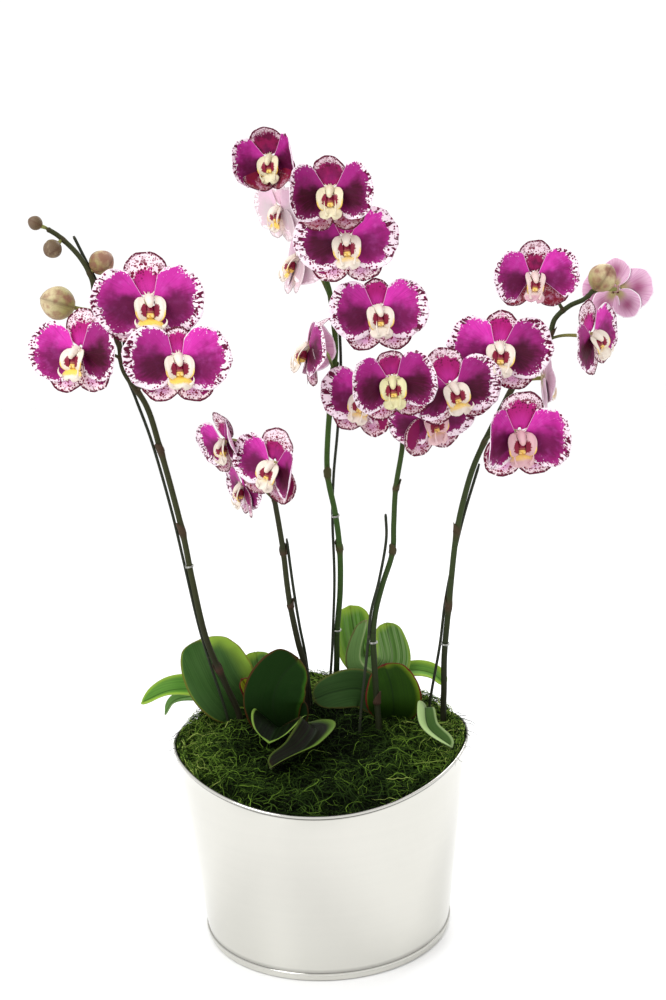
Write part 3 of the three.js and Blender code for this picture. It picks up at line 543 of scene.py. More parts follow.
def petal_material():
    """Magenta with a ragged white margin, dark specks and dashes; spotted pale sepals."""
    m = Shade("petal_skin", 0.5, Specular_IOR_Level=0.15)
    flat = m.attribute("flat")
    seed = flat.parts()[2]
    angle, share, kind = m.attribute("fan").parts()
    rim, inner, _ = m.attribute("edge").parts()
    fade, dark, gloom = m.attribute("tone").parts()

    broad = (m.noise(flat, 0.13, 2) - 0.5) * 12
    fine = (m.noise(flat, 0.62, 3, 0.65) - 0.5) * 8
    rays = (m.noise(m.join(angle * 20, rim * 0.16, seed), 1, 2) - 0.5) * 7
    ragged = broad + fine + rays
    streaky = m.noise(m.join(angle * 15, rim * 0.12, seed), 1, 2)
    veins = m.noise(m.join(angle * 26, rim * 0.03, seed), 1, 3)
    cloud = m.noise(flat, 0.09, 2)
    blots = m.spots(flat, 0.42, 0.7, 0.64)
    specks = m.spots(flat, 0.75, 0.85, 0.64)

    # petals: a margin that is widest at the side, and a body that darkens towards the lip
    slip = (m.noise(m.join(seed, 0.5, 0.5), 0.7) - 0.5) * 1.6
    side = (angle + slip).hill(-0.05, 1.15)
    width = (angle.ramp(0.5, 1.3) * 2.2 + 1.5 + side * 5.2
             + gloom * angle.ramp(-0.9, 0.1, (1, 5)))
    deep = (angle + cloud * 0.9).hill(0.85, 1.25) * (share + streaky * 0.3).hill(0.55, 0.7)
    flecks = m.spots(flat, 0.62, 0.45, 0.44) * (rim + broad).ramp(11, 5)
    # painted light: the upper side of each petal is brighter; dark adds painted shade to a petal
    # turned from the light and deepens the dark patch by the lip
    body = m.layers(
        m.mix((angle + cloud * 1.2).ramp(-0.5, 1.1), (222, 54, 180), (158, 28, 116)),
        (m.noise(flat, 0.16, 3).ramp(0.45, 0.8) * 0.4, (232, 96, 206)),
        (dark * 0.68, (98, 12, 60)), (deep.ramp(0, 0.8) * (dark * 0.45 + 0.5), (56, 6, 22)),
        (veins.ramp(0.5, 0.75) * 0.35, (110, 10, 76)), (flecks * 0.85, (250, 222, 244)))
    dashes = (streaky.ramp(0.53, 0.57) * side.ramp(0.1, 0.5)
              * (rim + fine * 0.4).ramp(0.2, 1.2))
    petal = m.layers(
        m.mix(m.noise(flat, 0.2), (254, 244, 250), (238, 212, 228)), (blots, (122, 12, 70)),
        (dashes, (92, 10, 50)), ((rim + ragged - width).ramp(-0.35, 0.35), body),
        (inner.ramp(0.6, 0.1, (0, 0.8)), (240, 196, 226)))

    # top sepal: magenta below, spotted above
    past = share + ragged * 0.03 - dark
    crowd = blots.most(m.spots(flat, 0.32, 0.6, 0.7)) * share.ramp(0.98, 0.72)
    lower = m.layers(
        m.mix(share.ramp(0.15, 0.6), (206, 50, 160), (176, 26, 118)),
        (veins.ramp(0.5, 0.75) * 0.35, (120, 12, 80)),
        (blots * past.ramp(-0.3, -0.05), (96, 8, 52)))
    wine = m.mix(m.noise(flat, 0.1, 2).ramp(0.4, 0.62), (78, 8, 34), (136, 16, 66))
    edge = (rim + fine * 0.6).ramp(2.6, 1.5) * streaky.ramp(0.34, 0.42)
    dorsal = m.layers(
        m.mix(m.noise(flat, 0.1), (252, 238, 244), (238, 206, 220)),
        (crowd.most(specks), (122, 12, 54)), (past.ramp(0.03, -0.03), lower),
        (gloom * past.ramp(0.1, -0.08, (0.1, 0.85)), wine), (edge, (92, 10, 44)),
        (inner.ramp(0.6, 0.2), (246, 216, 232)))

    # side sepals: pale with dense spots, a dark inner bar and a lilac blush
    blush = angle.hill(0.25, 0.5) * share.hill(0.72, 0.25)
    patch = ((angle + ragged * 0.05).ramp(0.02, -0.06)
             * (share.ramp(0.22, 0.3) * rim.ramp(3, 4.5)))
    maroon = gloom * m.noise(flat, 0.14, 3).ramp(0.3, 0.6, (0.45, 1))
    lateral = m.layers(
        m.mix(blush * 0.8, (246, 226, 230), (210, 130, 190)),
        (specks.most(blots) * rim.ramp(0.6, 1.6), (124, 16, 54)),
        (m.noise(flat, 0.6, 2).ramp(0.44, 0.52) * share.ramp(0.5, 0.34), (190, 62, 62)),
        (patch, (130, 14, 84)), (maroon * rim.ramp(0.8, 2.6), (122, 20, 44)),
        (edge, (92, 10, 44)))

    flush = angle.hill(0, 0.9) * share.hill(0.55, 0.45)
    back = m.layers(
        m.mix(share.ramp(0.16, 0.5), (172, 164, 104), (226, 184, 210)),
        (veins.ramp(0.42, 0.75) * 0.6, (184, 104, 160)), (flush * 0.85, (134, 44, 92)),
        (rim.ramp(2.2, 0.8), (250, 242, 248)))
    face = m.layers(petal, (kind.hill(1, 0.4), dorsal), (kind.hill(2, 0.4), lateral))
    skin = m.layers(back, (m.number("front"), face), (fade, (250, 238, 240)))
    return m.finish(skin, veins, 0.0004)


def lip_material():
    """Waxy cream white with yellow edges and crimson blotches, placed by the marks' weights."""
    m = Shade("lip_skin", 0.4, Specular_IOR_Level=0.25)
    place = m.attribute("local")
    yellow, crimson, pink = m.attribute("mark").parts()
    grain = (m.noise(place, 0.6, 3) - 0.5) * 0.9
    wax = m.mix(m.noise(place, 0.2), (244, 238, 222), (216, 198, 186))
    skin = m.layers(
        m.mix(1, wax, m.tint("tint"), "MULTIPLY"),
        ((pink + grain).ramp(0.3, 1.1), (206, 150, 170)),
        ((yellow + grain * 0.8).ramp(0.15, 1.1), (242, 204, 92)),
        (m.spots(place, 1.1, 0.3, 0.4) * yellow.ramp(0.5, 0.8) * 0.7, (170, 60, 30)),
        ((crimson + grain).ramp(0.5, 0.68), (132, 20, 52)))
    return m.finish(skin, m.noise(place, 0.8, 2), 0.0003, 0.4)


def stem_material():
    """Green skin, purplish at the nodes and darker towards the foot."""
    m = Shade("stem_skin", 0.5, Specular_IOR_Level=0.1)
    place = m.attribute("local")
    height, node, stalk = m.attribute("tone").parts()
    skin = m.layers(
        m.tint("tint"), (height.ramp(360, 200, (0.3, 0.85)), (20, 18, 12)),
        (m.noise(place, 0.12, 3, 0.6) * 0.3, (46, 34, 30)), (stalk * 0.75, (148, 150, 84)),
        (node * 0.6, (78, 50, 44)), (m.noise(place, 0.5, 2).ramp(0.62, 0.7) * 0.35, (30, 20, 22)))
    return m.finish(skin, m.noise(place, 0.6, 3), 0.0003)


def bud_material():
    """Cream-olive with brownish pink shading, mottled streaks and darker seams."""
    m = Shade("bud_skin", 0.5, Specular_IOR_Level=0.2)
    place = m.attribute("local")
    blush, along, seam = m.attribute("tone").parts()
    cloud = m.noise(place, 0.12, 3)
    shading = m.mix(blush.ramp(0.55, 0.85), (136, 86, 74), (74, 46, 40))
    veins = m.noise(m.join(along * 1.5, seam * 6, cloud), 2.5, 3)
    skin = m.layers(
        m.mix(along.ramp(0.1, 0.9), (150, 146, 84), (206, 190, 150)),
        ((cloud + blush * 0.45).ramp(0.5, 0.85) * 0.85, shading),
        (veins.ramp(0.45, 0.7) * 0.35, (98, 72, 46)), (seam * 0.6, (88, 60, 44)))
    return m.finish(skin, m.noise(place, 0.4, 2), 0.0003)


def stake_material():
    """Dark green painted stick, a little worn."""
    m = Shade("stake_paint", 0.5, Specular_IOR_Level=0.2)
    place = m.attribute("local")
    worn = m.noise(place, 0.35, 4, 0.7).ramp(0.55, 0.75)
    return m.finish(m.mix(worn, (34, 40, 26), (70, 64, 50)), m.noise(place, 0.9, 2), 0.0002, 0.4)


def wire_material():
    """Pale drawn wire."""
    m = Shade("tie_wire", 0.35, Metallic=0.9)
    return m.finish(m.mix(m.noise(m.attribute("local"), 1.2), (196, 196, 190), (140, 142, 136)))


def leaf_material():
    """Waxy leaf with parallel veins, a sunken midrib darkened by painted shade, a paler underside, a
    reddish rim and painted light where the glow says.
    """
    m = Shade("leaf_skin", 0.5, Specular_IOR_Level=0.05)
    across, along, seed = m.attribute("flat").parts()
    wide, margin, stripe = m.attribute("glow").parts()
    rim, red, share, front = (m.number(name) for name in ("rim", "red", "share", "front"))
    upper, under, lit = (m.tint(name) for name in ("upper", "under", "lit"))
    lines = m.noise(m.join(across * 0.9, along * 0.012, seed), 1, 3)
    clouds = m.noise(m.join(across * 0.03, along * 0.02, seed), 1)
    bands = m.noise(m.join(across * 0.5, along * 0.01, seed), 1).ramp(0.45, 0.6)
    # painted shade: the sunken midrib is darker on the upper face
    midrib = across.math("ABSOLUTE").ramp(1.4, 0.3)
    # painted light shining through the leaf and along its rim, in the lit colour
    through = rim.ramp(wide * 20 + 0.01, wide * 3, (0, 0.85)) * wide.ramp(0, 0.3)
    veined = m.mix(lines.ramp(0.35, 0.7) * 0.35, upper, (24, 44, 14))
    above = m.layers(
        m.mix(clouds.ramp(0.4, 0.7) * 0.4, veined, (96, 134, 62), "SOFT_LIGHT"),
        (midrib * 0.55, (22, 40, 16)), (bands * (stripe * 0.5), (170, 194, 140)),
        (through * clouds.ramp(0.2, 0.6, (0.5, 1)), lit), (rim.ramp(2.6, 0.9) * margin, lit),
        (share.ramp(0.5, 0.05) * 0.6, (14, 22, 8)))
    below = m.layers(under, (lines.ramp(0.35, 0.7) * 0.3, (70, 90, 50)),
                     (midrib * 0.4, (190, 206, 150)))
    thin = rim + m.noise(m.join(across, along * 0.3, seed), 0.3) * -2.4
    reddish = (thin.ramp(0.6, -0.4) * red).most(share.ramp(0.93, 1) * red * 0.7)
    return m.finish(m.layers(below, (front, above), (reddish, (88, 26, 22))), lines, 0.0005, 0.6)


def moss_material():
    """Strands from nearly black through bright yellow-green, each with its own shade value, which
    holds random tone together with painted light and shade.
    """
    m = Shade("moss_strand", 0.8, Specular_IOR_Level=0.05)
    tone = m.number("shade") + (m.noise(m.attribute("local"), 0.12) - 0.5) * 0.25
    return m.finish(m.layers(
        m.mix(tone.ramp(0.1, 0.5), (11, 17, 6), (46, 68, 24)),
        (tone.ramp(0.45, 0.8), (104, 136, 48)), (tone.ramp(0.8, 1), (166, 182, 96))))


def soil_material(name, dark, light, scale):
    """Crumbly dark litter; for the moss's body it is painted shade between the strands."""
    m = Shade(name, 0.95, Specular_IOR_Level=0.05)
    crumbs = m.noise(m.place(), scale, 5, 0.7)
    return m.finish(m.mix(crumbs.ramp(0.3, 0.7), dark, light), crumbs, 0.003, 0.8)


def metal_material():
    """Polished steel with faint brushing round it and a few soft smudges, darkened by painted shade
    in its creases and a painted reflection of the dark moss.
    """
    m = Shade("polished_metal", 0.09, Metallic=1.0)
    place = m.place()
    x, y, z = place.parts()
    rings = m.noise(m.join(x * 2, y * 2, z * 260), 1, 3)
    smudges = m.noise(place, 14, 3, 0.6)
    m.feed(m.surface.inputs["Roughness"], smudges.ramp(0.4, 0.8, (0.07, 0.16)) + rings * 0.03)
    steel = m.mix(rings * 0.5, (210, 209, 202), (203, 202, 196))
    # painted shade and painted reflection: the steel turns dark grey where the mesh's value says
    return m.finish(m.mix(m.number("dull"), steel, (44, 42, 38)), rings, 0.00003)


# ---------------------------------------------------------------- bucket and filling

BUCKET_SIDES = 192
MOUND_RINGS, MOUND_SIDES = 40, 120
MOSS_STRANDS, FRINGE_STRANDS, STRAND_POINTS = 10500, 1500, 9


def wall_share(height):
    """0 at the foot bead, 1 at the rim."""
    return (height - FOOT_BEAD_HEIGHT) / (RIM_HEIGHT - FOOT_BEAD_HEIGHT)


def wall_radius(height):
    return FOOT_RADIUS + (RIM_RADIUS - FOOT_RADIUS) * wall_share(height)


def forwardness(x, y):
    """0 at the bucket's sides, 1 at its front and back."""
    return y * y / np.maximum(x * x + y * y, 1e-9)


def bead(radius, height, size, start, end, count):
    """A rounded edge in the wall's outline, from one angle to another."""
    turn = np.radians(np.linspace(start, end, count + 1))
    return stacked(radius + size * np.cos(turn), height + size * np.sin(turn))


def bucket(material):
    """The wall turned round its axis. Its rim dips towards the front and back, and the wall
    below the rim less and less. Painted shade darkens the creases above the foot bead and
    under the rim's roll, and a painted reflection of the dark moss darkens the roll's top
    and inside."""
    foot = bead(FOOT_RADIUS, FOOT_BEAD_HEIGHT, FOOT_BEAD, -75, 75, 8)
    heights = np.linspace(12, RIM_HEIGHT - 2.5, 14)
    rim = bead(RIM_RADIUS - 0.4, RIM_HEIGHT + 0.4, RIM_BEAD - 0.5, -60, 215, 14)
    inside = np.linspace(RIM_HEIGHT - 6, FLOOR + 2, 14)
    profile = np.concatenate([
        [[FOOT_RADIUS - 12, 0], [FOOT_RADIUS - 0.6, 0], [FOOT_RADIUS, 0.5]], foot,
        stacked(wall_radius(heights), heights), rim,
        stacked(wall_radius(inside) - WALL, inside), [[FOOT_RADIUS - WALL - 1, FLOOR]]])
    dull = np.zeros(len(profile))
    # painted shade in the crease where the foot bead meets the wall
    dull[9:12] = (0.15, 0.35, 0.5)
    first = 3 + len(foot) + len(heights)
    # painted shade in the crease under the rim's roll, then a painted reflection of the dark moss
    # over its top, its inside and the wall just inside it
    dull[first:first + 18] = (0.9, 0.8, 0.5, 0.15, 0, 0, 0.1, 0.5, 0.85, 1, 1, 1, 1, 1, 1,
                              0.8, 0.5, 0.2)
    turn = np.linspace(0, ROUND, BUCKET_SIDES, endpoint=False)
    radius, height = profile[:, :1], profile[:, 1:]
    rings = stacked(radius * np.cos(turn), radius * np.sin(turn), height)
    points = np.concatenate([rings.reshape(-1, 3), [[0, 0, 0], [0, 0, FLOOR]]])
    x, y, z = points.T
    dip = RIM_DIP * forwardness(x, y) * np.maximum(wall_share(z), 0)
    solid = Solid()
    solid.add(stacked(x, y, z - dip), ring_faces(len(profile), BUCKET_SIDES),
              dull=np.concatenate([np.repeat(dull, BUCKET_SIDES), [0, 0]])[:, None])
    solid.piece("bucket_metal", material, "bucket", ["bucket"], sharp=35)


def moss_height(x, y):
    """The heaped moss: higher at the back, and below the rim at the front."""
    out = np.hypot(x, y) / RIM_RADIUS
    slope = np.where(y > 0, MOSS_SLOPE["back"], MOSS_SLOPE["front"])
    shoulder = MOSS_SHOULDER * out ** 4 * (1 - y / RIM_RADIUS) / 2
    lumps = np.sin(x / 9 + 1) * np.cos(y / 8) + np.sin(x / 17 - y / 13)
    return MOSS_MIDDLE + slope * y - shoulder + MOSS_LUMP * lumps


def moss_reach(x, y):
    """How far out the moss may lie at its height, inside the bucket's wall."""
    rim = RIM_HEIGHT - RIM_DIP * forwardness(x, y)
    return wall_radius(np.minimum(moss_height(x, y), rim)) - WALL - 1


def towards_back(y):
    """0 up to 50 mm behind the middle, 1 from 110 mm on."""
    return smooth((y - 50) / 60)


def moss_mound(material):
    """The dark body of the moss, just below its strands and down past the plants' holes; its dark
    colour is painted shade in the gaps between the strands.
    """
    turn = np.linspace(0, ROUND, MOUND_SIDES, endpoint=False)
    share = np.linspace(0, 1, MOUND_RINGS + 1)[1:, None]
    reach = moss_reach(RIM_RADIUS * np.cos(turn), RIM_RADIUS * np.sin(turn))
    x, y = reach * share * np.cos(turn), reach * share * np.sin(turn)
    z = moss_height(x, y) - 5 - 1.5 * np.sin(x / 4) * np.sin(y / 3.4) + 4 * towards_back(y)
    top = stacked(x, y, z).reshape(-1, 3)
    foot = top[-MOUND_SIDES:].copy()
    foot[:, :2] *= ((wall_radius(HOLE_FLOOR) - WALL - 1) / np.hypot(*foot[:, :2].T))[:, None]
    foot[:, 2] = HOLE_FLOOR - 3
    solid = Solid()
    solid.add(np.concatenate([top, foot, [[0, 0, moss_height(0, 0) - 3], [0, 0, HOLE_FLOOR - 3]]]),
              [np.roll(f[:, ::-1], 1, axis=1) for f in ring_faces(MOUND_RINGS + 1, MOUND_SIDES)])
    solid.piece("moss_mound", material, "moss", ["moss"])


def strand_tubes(solid, lines, radii, shade):
    """Many thin three-sided strands at once. lines: strand, point, coordinate."""
    count, steps, _ = lines.shape
    ahead = unit(np.gradient(lines, axis=1))
    side = unit(np.cross(ahead, [0.2, 0.1, 0.97]))[:, :, None]
    other = np.cross(ahead, side[:, :, 0])[:, :, None]
    turn = (np.array([0, 2, 4]) * math.pi / 3)[:, None]
    points = lines[:, :, None] + radii[:, :, None, None] * circle(turn, side, other)
    index = np.arange(count * steps * 3).reshape(count, steps, 3)
    following = np.roll(index, -1, axis=2)
    walls = np.stack([index[:, :-1], following[:, :-1], following[:, 1:], index[:, 1:]],
                     -1).reshape(-1, 4)
    ends = np.concatenate([index[:, 0, ::-1], index[:, -1]])
    solid.add(points.reshape(-1, 3), [walls, ends], local=points.reshape(-1, 3),
              shade=np.repeat(shade, steps * 3)[:, None])


def moss_strands(material, rng):
    """Curly strands lying over the mound, the ones on top brighter as painted light."""
    count, steps = MOSS_STRANDS, STRAND_POINTS
    around = rng.uniform(0, ROUND, count)
    share = np.sqrt(rng.uniform(0, 1, count)) * 0.99
    start = stacked(np.cos(around), np.sin(around))
    start *= (share * moss_reach(*(RIM_RADIUS * start).T))[:, None]
    length = rng.uniform(14, 42, count)
    heading = rng.uniform(0, ROUND, count)
    curl = rng.normal(0, 0.28, count)
    wobble = rng.normal(0, 0.3, (count, steps))
    turns = heading[:, None] + curl[:, None] * np.arange(steps) + np.cumsum(wobble, 1)
    step = (length / (steps - 1))[:, None]
    x = start[:, :1] + np.cumsum(step * np.cos(turns), 1)
    y = start[:, 1:] + np.cumsum(step * np.sin(turns), 1)
    out = np.maximum(np.hypot(x, y), 1)
    inward = np.minimum(1, moss_reach(x / out * RIM_RADIUS, y / out * RIM_RADIUS) / out)
    x, y = x * inward, y * inward
    level = rng.uniform(0, 1, count)
    along = np.linspace(0, 1, steps)
    far = towards_back(y[:, 0])
    arch = np.sin(math.pi * along) * (rng.uniform(0, 5, count) * (1 - 0.7 * far))[:, None]
    ripple = rng.normal(0, 0.7, (count, steps))
    z = moss_height(x, y) - 6 + 8 * level[:, None] + arch + ripple
    # painted light and shade: strands higher in the layer and at the sides are brighter, and a
    # painted shadow darkens those under the leaves; strands also grow brighter towards the back, in
    # clumps and at random
    at_x, at_y = x[:, 0], y[:, 0]
    sides = np.abs(at_x / RIM_RADIUS) ** 2.5
    under = np.exp(-(((at_x + 12) / 62) ** 2 + ((at_y + 4) / 44) ** 2))
    clumps = np.sin(at_x / 15 + 2) * np.sin(at_y / 11) + np.sin((at_x + at_y) / 7)
    shade = np.clip(0.02 + 0.5 * level ** 3 + rng.normal(0, 0.14, count) + 0.55 * sides
                    + 0.35 * far - 0.25 * under + 0.09 * clumps, 0, 1)
    thinning = 1 - 0.75 * along ** 3
    radii = rng.uniform(0.18, 0.46, count)[:, None] * thinning
    solid = Solid()
    strand_tubes(solid, stacked(x, y, z), radii, shade)
    # a fringe that climbs the wall at the sides and back, with a few strands over the rim
    count = FRINGE_STRANDS
    around = rng.uniform(-0.55, math.pi + 0.55, count)
    swing = rng.uniform(-0.14, 0.14, count)[:, None] * along + rng.normal(0, 0.006, (count, steps))
    turn = around[:, None] + swing
    over = ((rng.uniform(0, 1, count) < 0.05) & (np.abs(np.sin(around)) < 0.6))[:, None]
    climb = rng.uniform(-5, 1.5, count)[:, None]
    out = RIM_RADIUS - WALL - rng.uniform(1, 9, count)[:, None] * (1 - 0.5 * along)
    out = np.where(over, RIM_RADIUS - 12 + rng.uniform(14, 24, count)[:, None] * along, out)
    rim = RIM_HEIGHT - RIM_DIP * np.sin(turn) ** 2
    z = rim + climb + 4.5 * np.sin(math.pi * along) * rng.uniform(0, 1, count)[:, None]
    z = np.where(over, rim + 4 + 3 * along - 7 * along ** 3, z)
    z = z + rng.normal(0, 0.5, (count, steps))
    shade = np.clip(rng.uniform(0.25, 0.95, count) - 0.4 * over[:, 0], 0, 1)
    radii = rng.uniform(0.25, 0.5, count)[:, None] * thinning
    strand_tubes(solid, stacked(out * np.cos(turn), out * np.sin(turn), z), radii, shade)
    solid.piece("moss_strands", material, "moss")


# ---------------------------------------------------------------- stems, stakes and buds

NODE_SPAN, JOINT_SPAN = 0.006, 0.007


def stem_radius(share):
    return STEM_RADIUS[0] + (STEM_RADIUS[1] - STEM_RADIUS[0]) * share


def rotation(turn):
    """The bloom's turn as a matrix: yaw about Z, then pitch about X, then roll about Y."""
    yaw, pitch, roll = (Matrix.Rotation(math.radians(angle), 3, axis)
                        for angle, axis in zip(turn, "ZXY"))
    return np.array(yaw @ pitch @ roll)


def pedicel(solid, line, start, end, arriving, tint):
    """A flower stalk that leaves the stem upwards and meets its bloom or bud from behind."""
    begin = line.place(start)
    reach = np.linalg.norm(end - begin) * 0.4
    leaving = unit(unit(end - begin) + [0, 0, 0.5])
    t = np.linspace(0, 1, 25)[:, None]
    curve = ((1 - t) ** 3 * begin + 3 * (1 - t) ** 2 * t * (begin + leaving * reach)
             + 3 * (1 - t) * t ** 2 * (end - arriving * reach) + t ** 3 * end)
    t = t[:, 0]
    thin, thick = PEDICEL_RADIUS
    radii = np.interp(t, [0, 0.06, 0.15, 0.85, 1],
                      [thin + 0.7, thin + 0.4, thin, thick - 0.2, thick])
    tone = stacked(curve[:, 2], 1 - smooth(t * 8), smooth(t * 1.5))
    tube(solid, curve, radii, 10, local=curve, tone=tone, tint=linear(tint))


def bract(solid, line, share, turn, tint):
    """A pointed sheath that hugs the stem at a node."""
    length = 11
    span = length / np.linalg.norm(line.at(min(share + 0.02, 1)) - line.at(share - 0.02)) * 0.04
    v = np.linspace(0, 1, 9)
    middle = line.at(share - span * 0.15 + span * v)
    ahead = unit(np.gradient(middle, axis=0))
    side = unit(np.cross(ahead, [math.cos(turn), math.sin(turn), 0.01]))
    out = np.cross(side, ahead)
    wrap = (np.linspace(-1, 1, 9) * (2.1 * (1 - v ** 1.6) + 0.12)[:, None])[..., None]
    radius = (stem_radius(share) * 1.18 + 0.35 + 1.1 * v ** 2)[:, None, None]
    surface = middle[:, None] + radius * circle(wrap, out[:, None], side[:, None])
    blade(solid, surface, 0.35, local=surface, tone=stacked(surface[..., 2], 0.9, 0),
          tint=linear(tint))


def stem_piece(key, spike, material, rng):
    """The stem, swollen at its nodes and joints, with its sheaths and flower stalks."""
    line, colour = Line(spike["line"]), spike["colour"]
    blooms = [form for name, form in BLOOMS.items() if name[0] == key]
    buds = [bud for bud in BUDS if bud["stem"] == key]
    share = np.linspace(0, 1, len(spike["line"]) * 14)
    centre = line.at(share)
    nodes = np.array([line.share_at(h) for h in spike["nodes"]])
    joints = [line.share_at(form["start"]) for form in blooms + buds]
    swell = sum(np.exp(-((share - n) / NODE_SPAN) ** 2) for n in nodes)
    knuckle = sum(np.exp(-((share - n) / JOINT_SPAN) ** 2) for n in joints)
    radii = stem_radius(share) * (1 + 0.3 * swell + 0.16 * knuckle)
    radii[-3:] *= [0.9, 0.7, 0.3]
    tone = stacked(centre[:, 2], np.clip(swell + 0.5 * knuckle, 0, 1), 0)
    solid = Solid()
    tube(solid, centre, radii, 14, local=centre, tone=tone, tint=linear(colour))
    for number, node in enumerate(nodes):
        bract(solid, line, node, rng.uniform(0, 6) + number, colour)
    for form in blooms:
        forward = rotation(form["turn"]) @ [0, -1, 0]
        end = np.array(form["at"]) - forward * (HUB_BACK * form["size"] - 1)
        pedicel(solid, line, form["start"], end, forward, colour)
    for bud in buds:
        middle = np.array(bud["at"], float)
        arriving = unit(middle - line.place(bud["start"]))
        end = middle - arriving * bud["radius"] * 0.9
        pedicel(solid, line, bud["start"], end, arriving, colour)
    solid.piece(f"flower_stem_{key}", material, "stem", [f"stem_{key}"])


def bud_piece(number, bud, material):
    """An egg-shaped bud with three low seams, its tip away from the stalk."""
    middle, radius = np.array(bud["at"], float), bud["radius"]
    ahead = unit(middle - Line(STEMS[bud["stem"]]["line"]).place(bud["start"]))
    side = unit(np.cross(ahead, [0.1, 0.2, 0.97]))
    rows, columns = 22, 36
    v = np.linspace(0, 1, rows + 2)[1:-1]
    turn = np.linspace(0, ROUND, columns, endpoint=False)
    profile = (np.sin(math.pi * v ** 0.95) ** 0.55)[:, None]
    seams = np.abs(np.sin(1.5 * (turn + 0.4 * math.pi)))
    bulge = 1 - 0.07 * (1 - smooth(seams * 2.2)) * profile
    ring = circle(turn[:, None], side, np.cross(ahead, side))
    points = (middle + ahead * radius * 1.02 * (2 * v - 1)[:, None, None]
              + radius * 0.97 * (profile * bulge)[..., None] * ring)
    ends = np.stack([middle - ahead * radius * 1.02, middle + ahead * radius * 1.03])
    points = np.concatenate([points.reshape(-1, 3), ends])
    seam = np.tile(1 - smooth(seams * 3), rows)
    tone = stacked(bud["blush"], np.concatenate([np.repeat(v, columns), [0, 1]]),
                   np.concatenate([seam, [0, 1]]))
    solid = Solid()
    solid.add(points, ring_faces(rows, columns), local=points - middle, tone=tone)
    solid.piece(f"bud_{bud['stem']}{number}", material, "stem")


def stake_pieces(key, spike, paint, wire):
    """The stick beside the stem, and the coils of wire that hold them together."""
    stem = Line(spike["line"])
    beside = [stem.place(h) * [1, 1, 0] + [dx, dy, h] for dx, dy, h in spike["stake"]]
    share = np.linspace(0, 1, len(beside) * 8)
    centre = Line(beside).at(share)
    radii = np.full(len(share), STAKE_RADIUS)
    radii[0], radii[-1] = 0.8, 0.9
    stick, ring = Solid(), Solid()
    tube(stick, centre, radii, 12, local=centre)
    stick.piece(f"support_{key}", paint, "stake", [f"stake_{key}"])
    for height in spike["ties"]:
        where = stem.share_at(height)
        ahead = unit(stem.at(where + 0.01)[0] - stem.at(where - 0.01)[0])
        side = unit(np.cross(ahead, [0.3, 1, 0.1]))
        radius = stem_radius(where) + TIE_CLEAR + TIE_WIRE / 2
        turn = np.linspace(0, 4.25 * math.pi, 64)[:, None]
        coil = (stem.at(where)[0] + radius * circle(turn, side, np.cross(ahead, side))
                + ahead * (turn / ROUND - 1) * TIE_WIRE * 0.8)
        tube(ring, coil, np.full(64, TIE_WIRE * 0.4), 8, local=coil)
    if ring.count:
        ring.piece(f"tie_{key}", wire, "stake")


# ---------------------------------------------------------------- blooms

TEPAL_ROWS, TEPAL_COLUMNS = 16, 34
TEPALS = (  # petal, top sepal, side sepals
    dict(length=46, side=1.44, bend=1, power=0.45, behind=-0.6, ruffle=1.5),
    dict(length=38, side=1.25, bend=1.2, power=0.55, behind=2.4, ruffle=0.7),
    dict(length=40, side=1.36, bend=1, power=1.1, behind=1.4, ruffle=0.8),
)


def tepal(solid, kind, angle, fold, down, reaches, crest, seed, tone, place, rng):
    """One petal or sepal as a fan of rays from its base. down is +1 or -1: the side of its
    across axis that is its lower one, and reaches is how far its upper and lower sides go."""
    shape = TEPALS[kind]
    length = shape["length"] * crest
    high, low = reaches or (shape["side"], shape["side"])
    share = np.linspace(0.06, 1, TEPAL_ROWS) ** 0.9
    eased = np.sin(np.linspace(-1, 1, TEPAL_COLUMNS) * 1.45) / math.sin(1.45)
    rays = np.where(eased * down > 0, low, high) * eased
    t, phi = np.meshgrid(share, rays, indexing="ij")
    notch = 1 + 0.012 * np.sin(9 * phi + rng.uniform(0, 6)) + 0.01 * np.sin(17 * phi + seed)
    if kind:
        notch = notch + 0.02 * np.cos(phi) ** 12
    reach = length * np.cos(shape["bend"] * phi) ** shape["power"] * notch
    reach = reach * (1 - 0.16 * np.clip(-phi * down / high, 0, 1) ** 5 * (kind == 0))
    along, across = reach * t * np.cos(phi), reach * t * np.sin(phi)
    out, side = along / length, across / 28
    lean = np.radians(fold) * out
    cup = 3 * (0.5 * side ** 2 + out ** 2)
    wave = shape["ruffle"] * t ** 3 * (np.sin(4.2 * phi + rng.uniform(0, 6))
                                       + 0.5 * np.sin(9 * phi + rng.uniform(0, 6)))
    crease = 0.9 * np.exp(-(across / 2.4) ** 2) * smooth(1.15 - t)
    outward = HUB_RADIUS * 0.75 + along * np.cos(lean)
    depth = shape["behind"] - along * np.sin(lean) - cup + wave + crease
    turn = math.radians(angle)
    surface = stacked(outward * math.sin(turn) + across * math.cos(turn), depth,
                      outward * math.cos(turn) - across * math.sin(turn))
    limit = np.where(phi * down > 0, low, high)
    blade(solid, place(surface), 0.75 - 0.4 * t ** 4, flat=stacked(across, along, seed * 7.0),
          fan=stacked(phi * down, t, kind), tone=tone,
          edge=stacked(reach * (1 - t), reach * t * np.sin(limit - np.abs(phi)), 0))


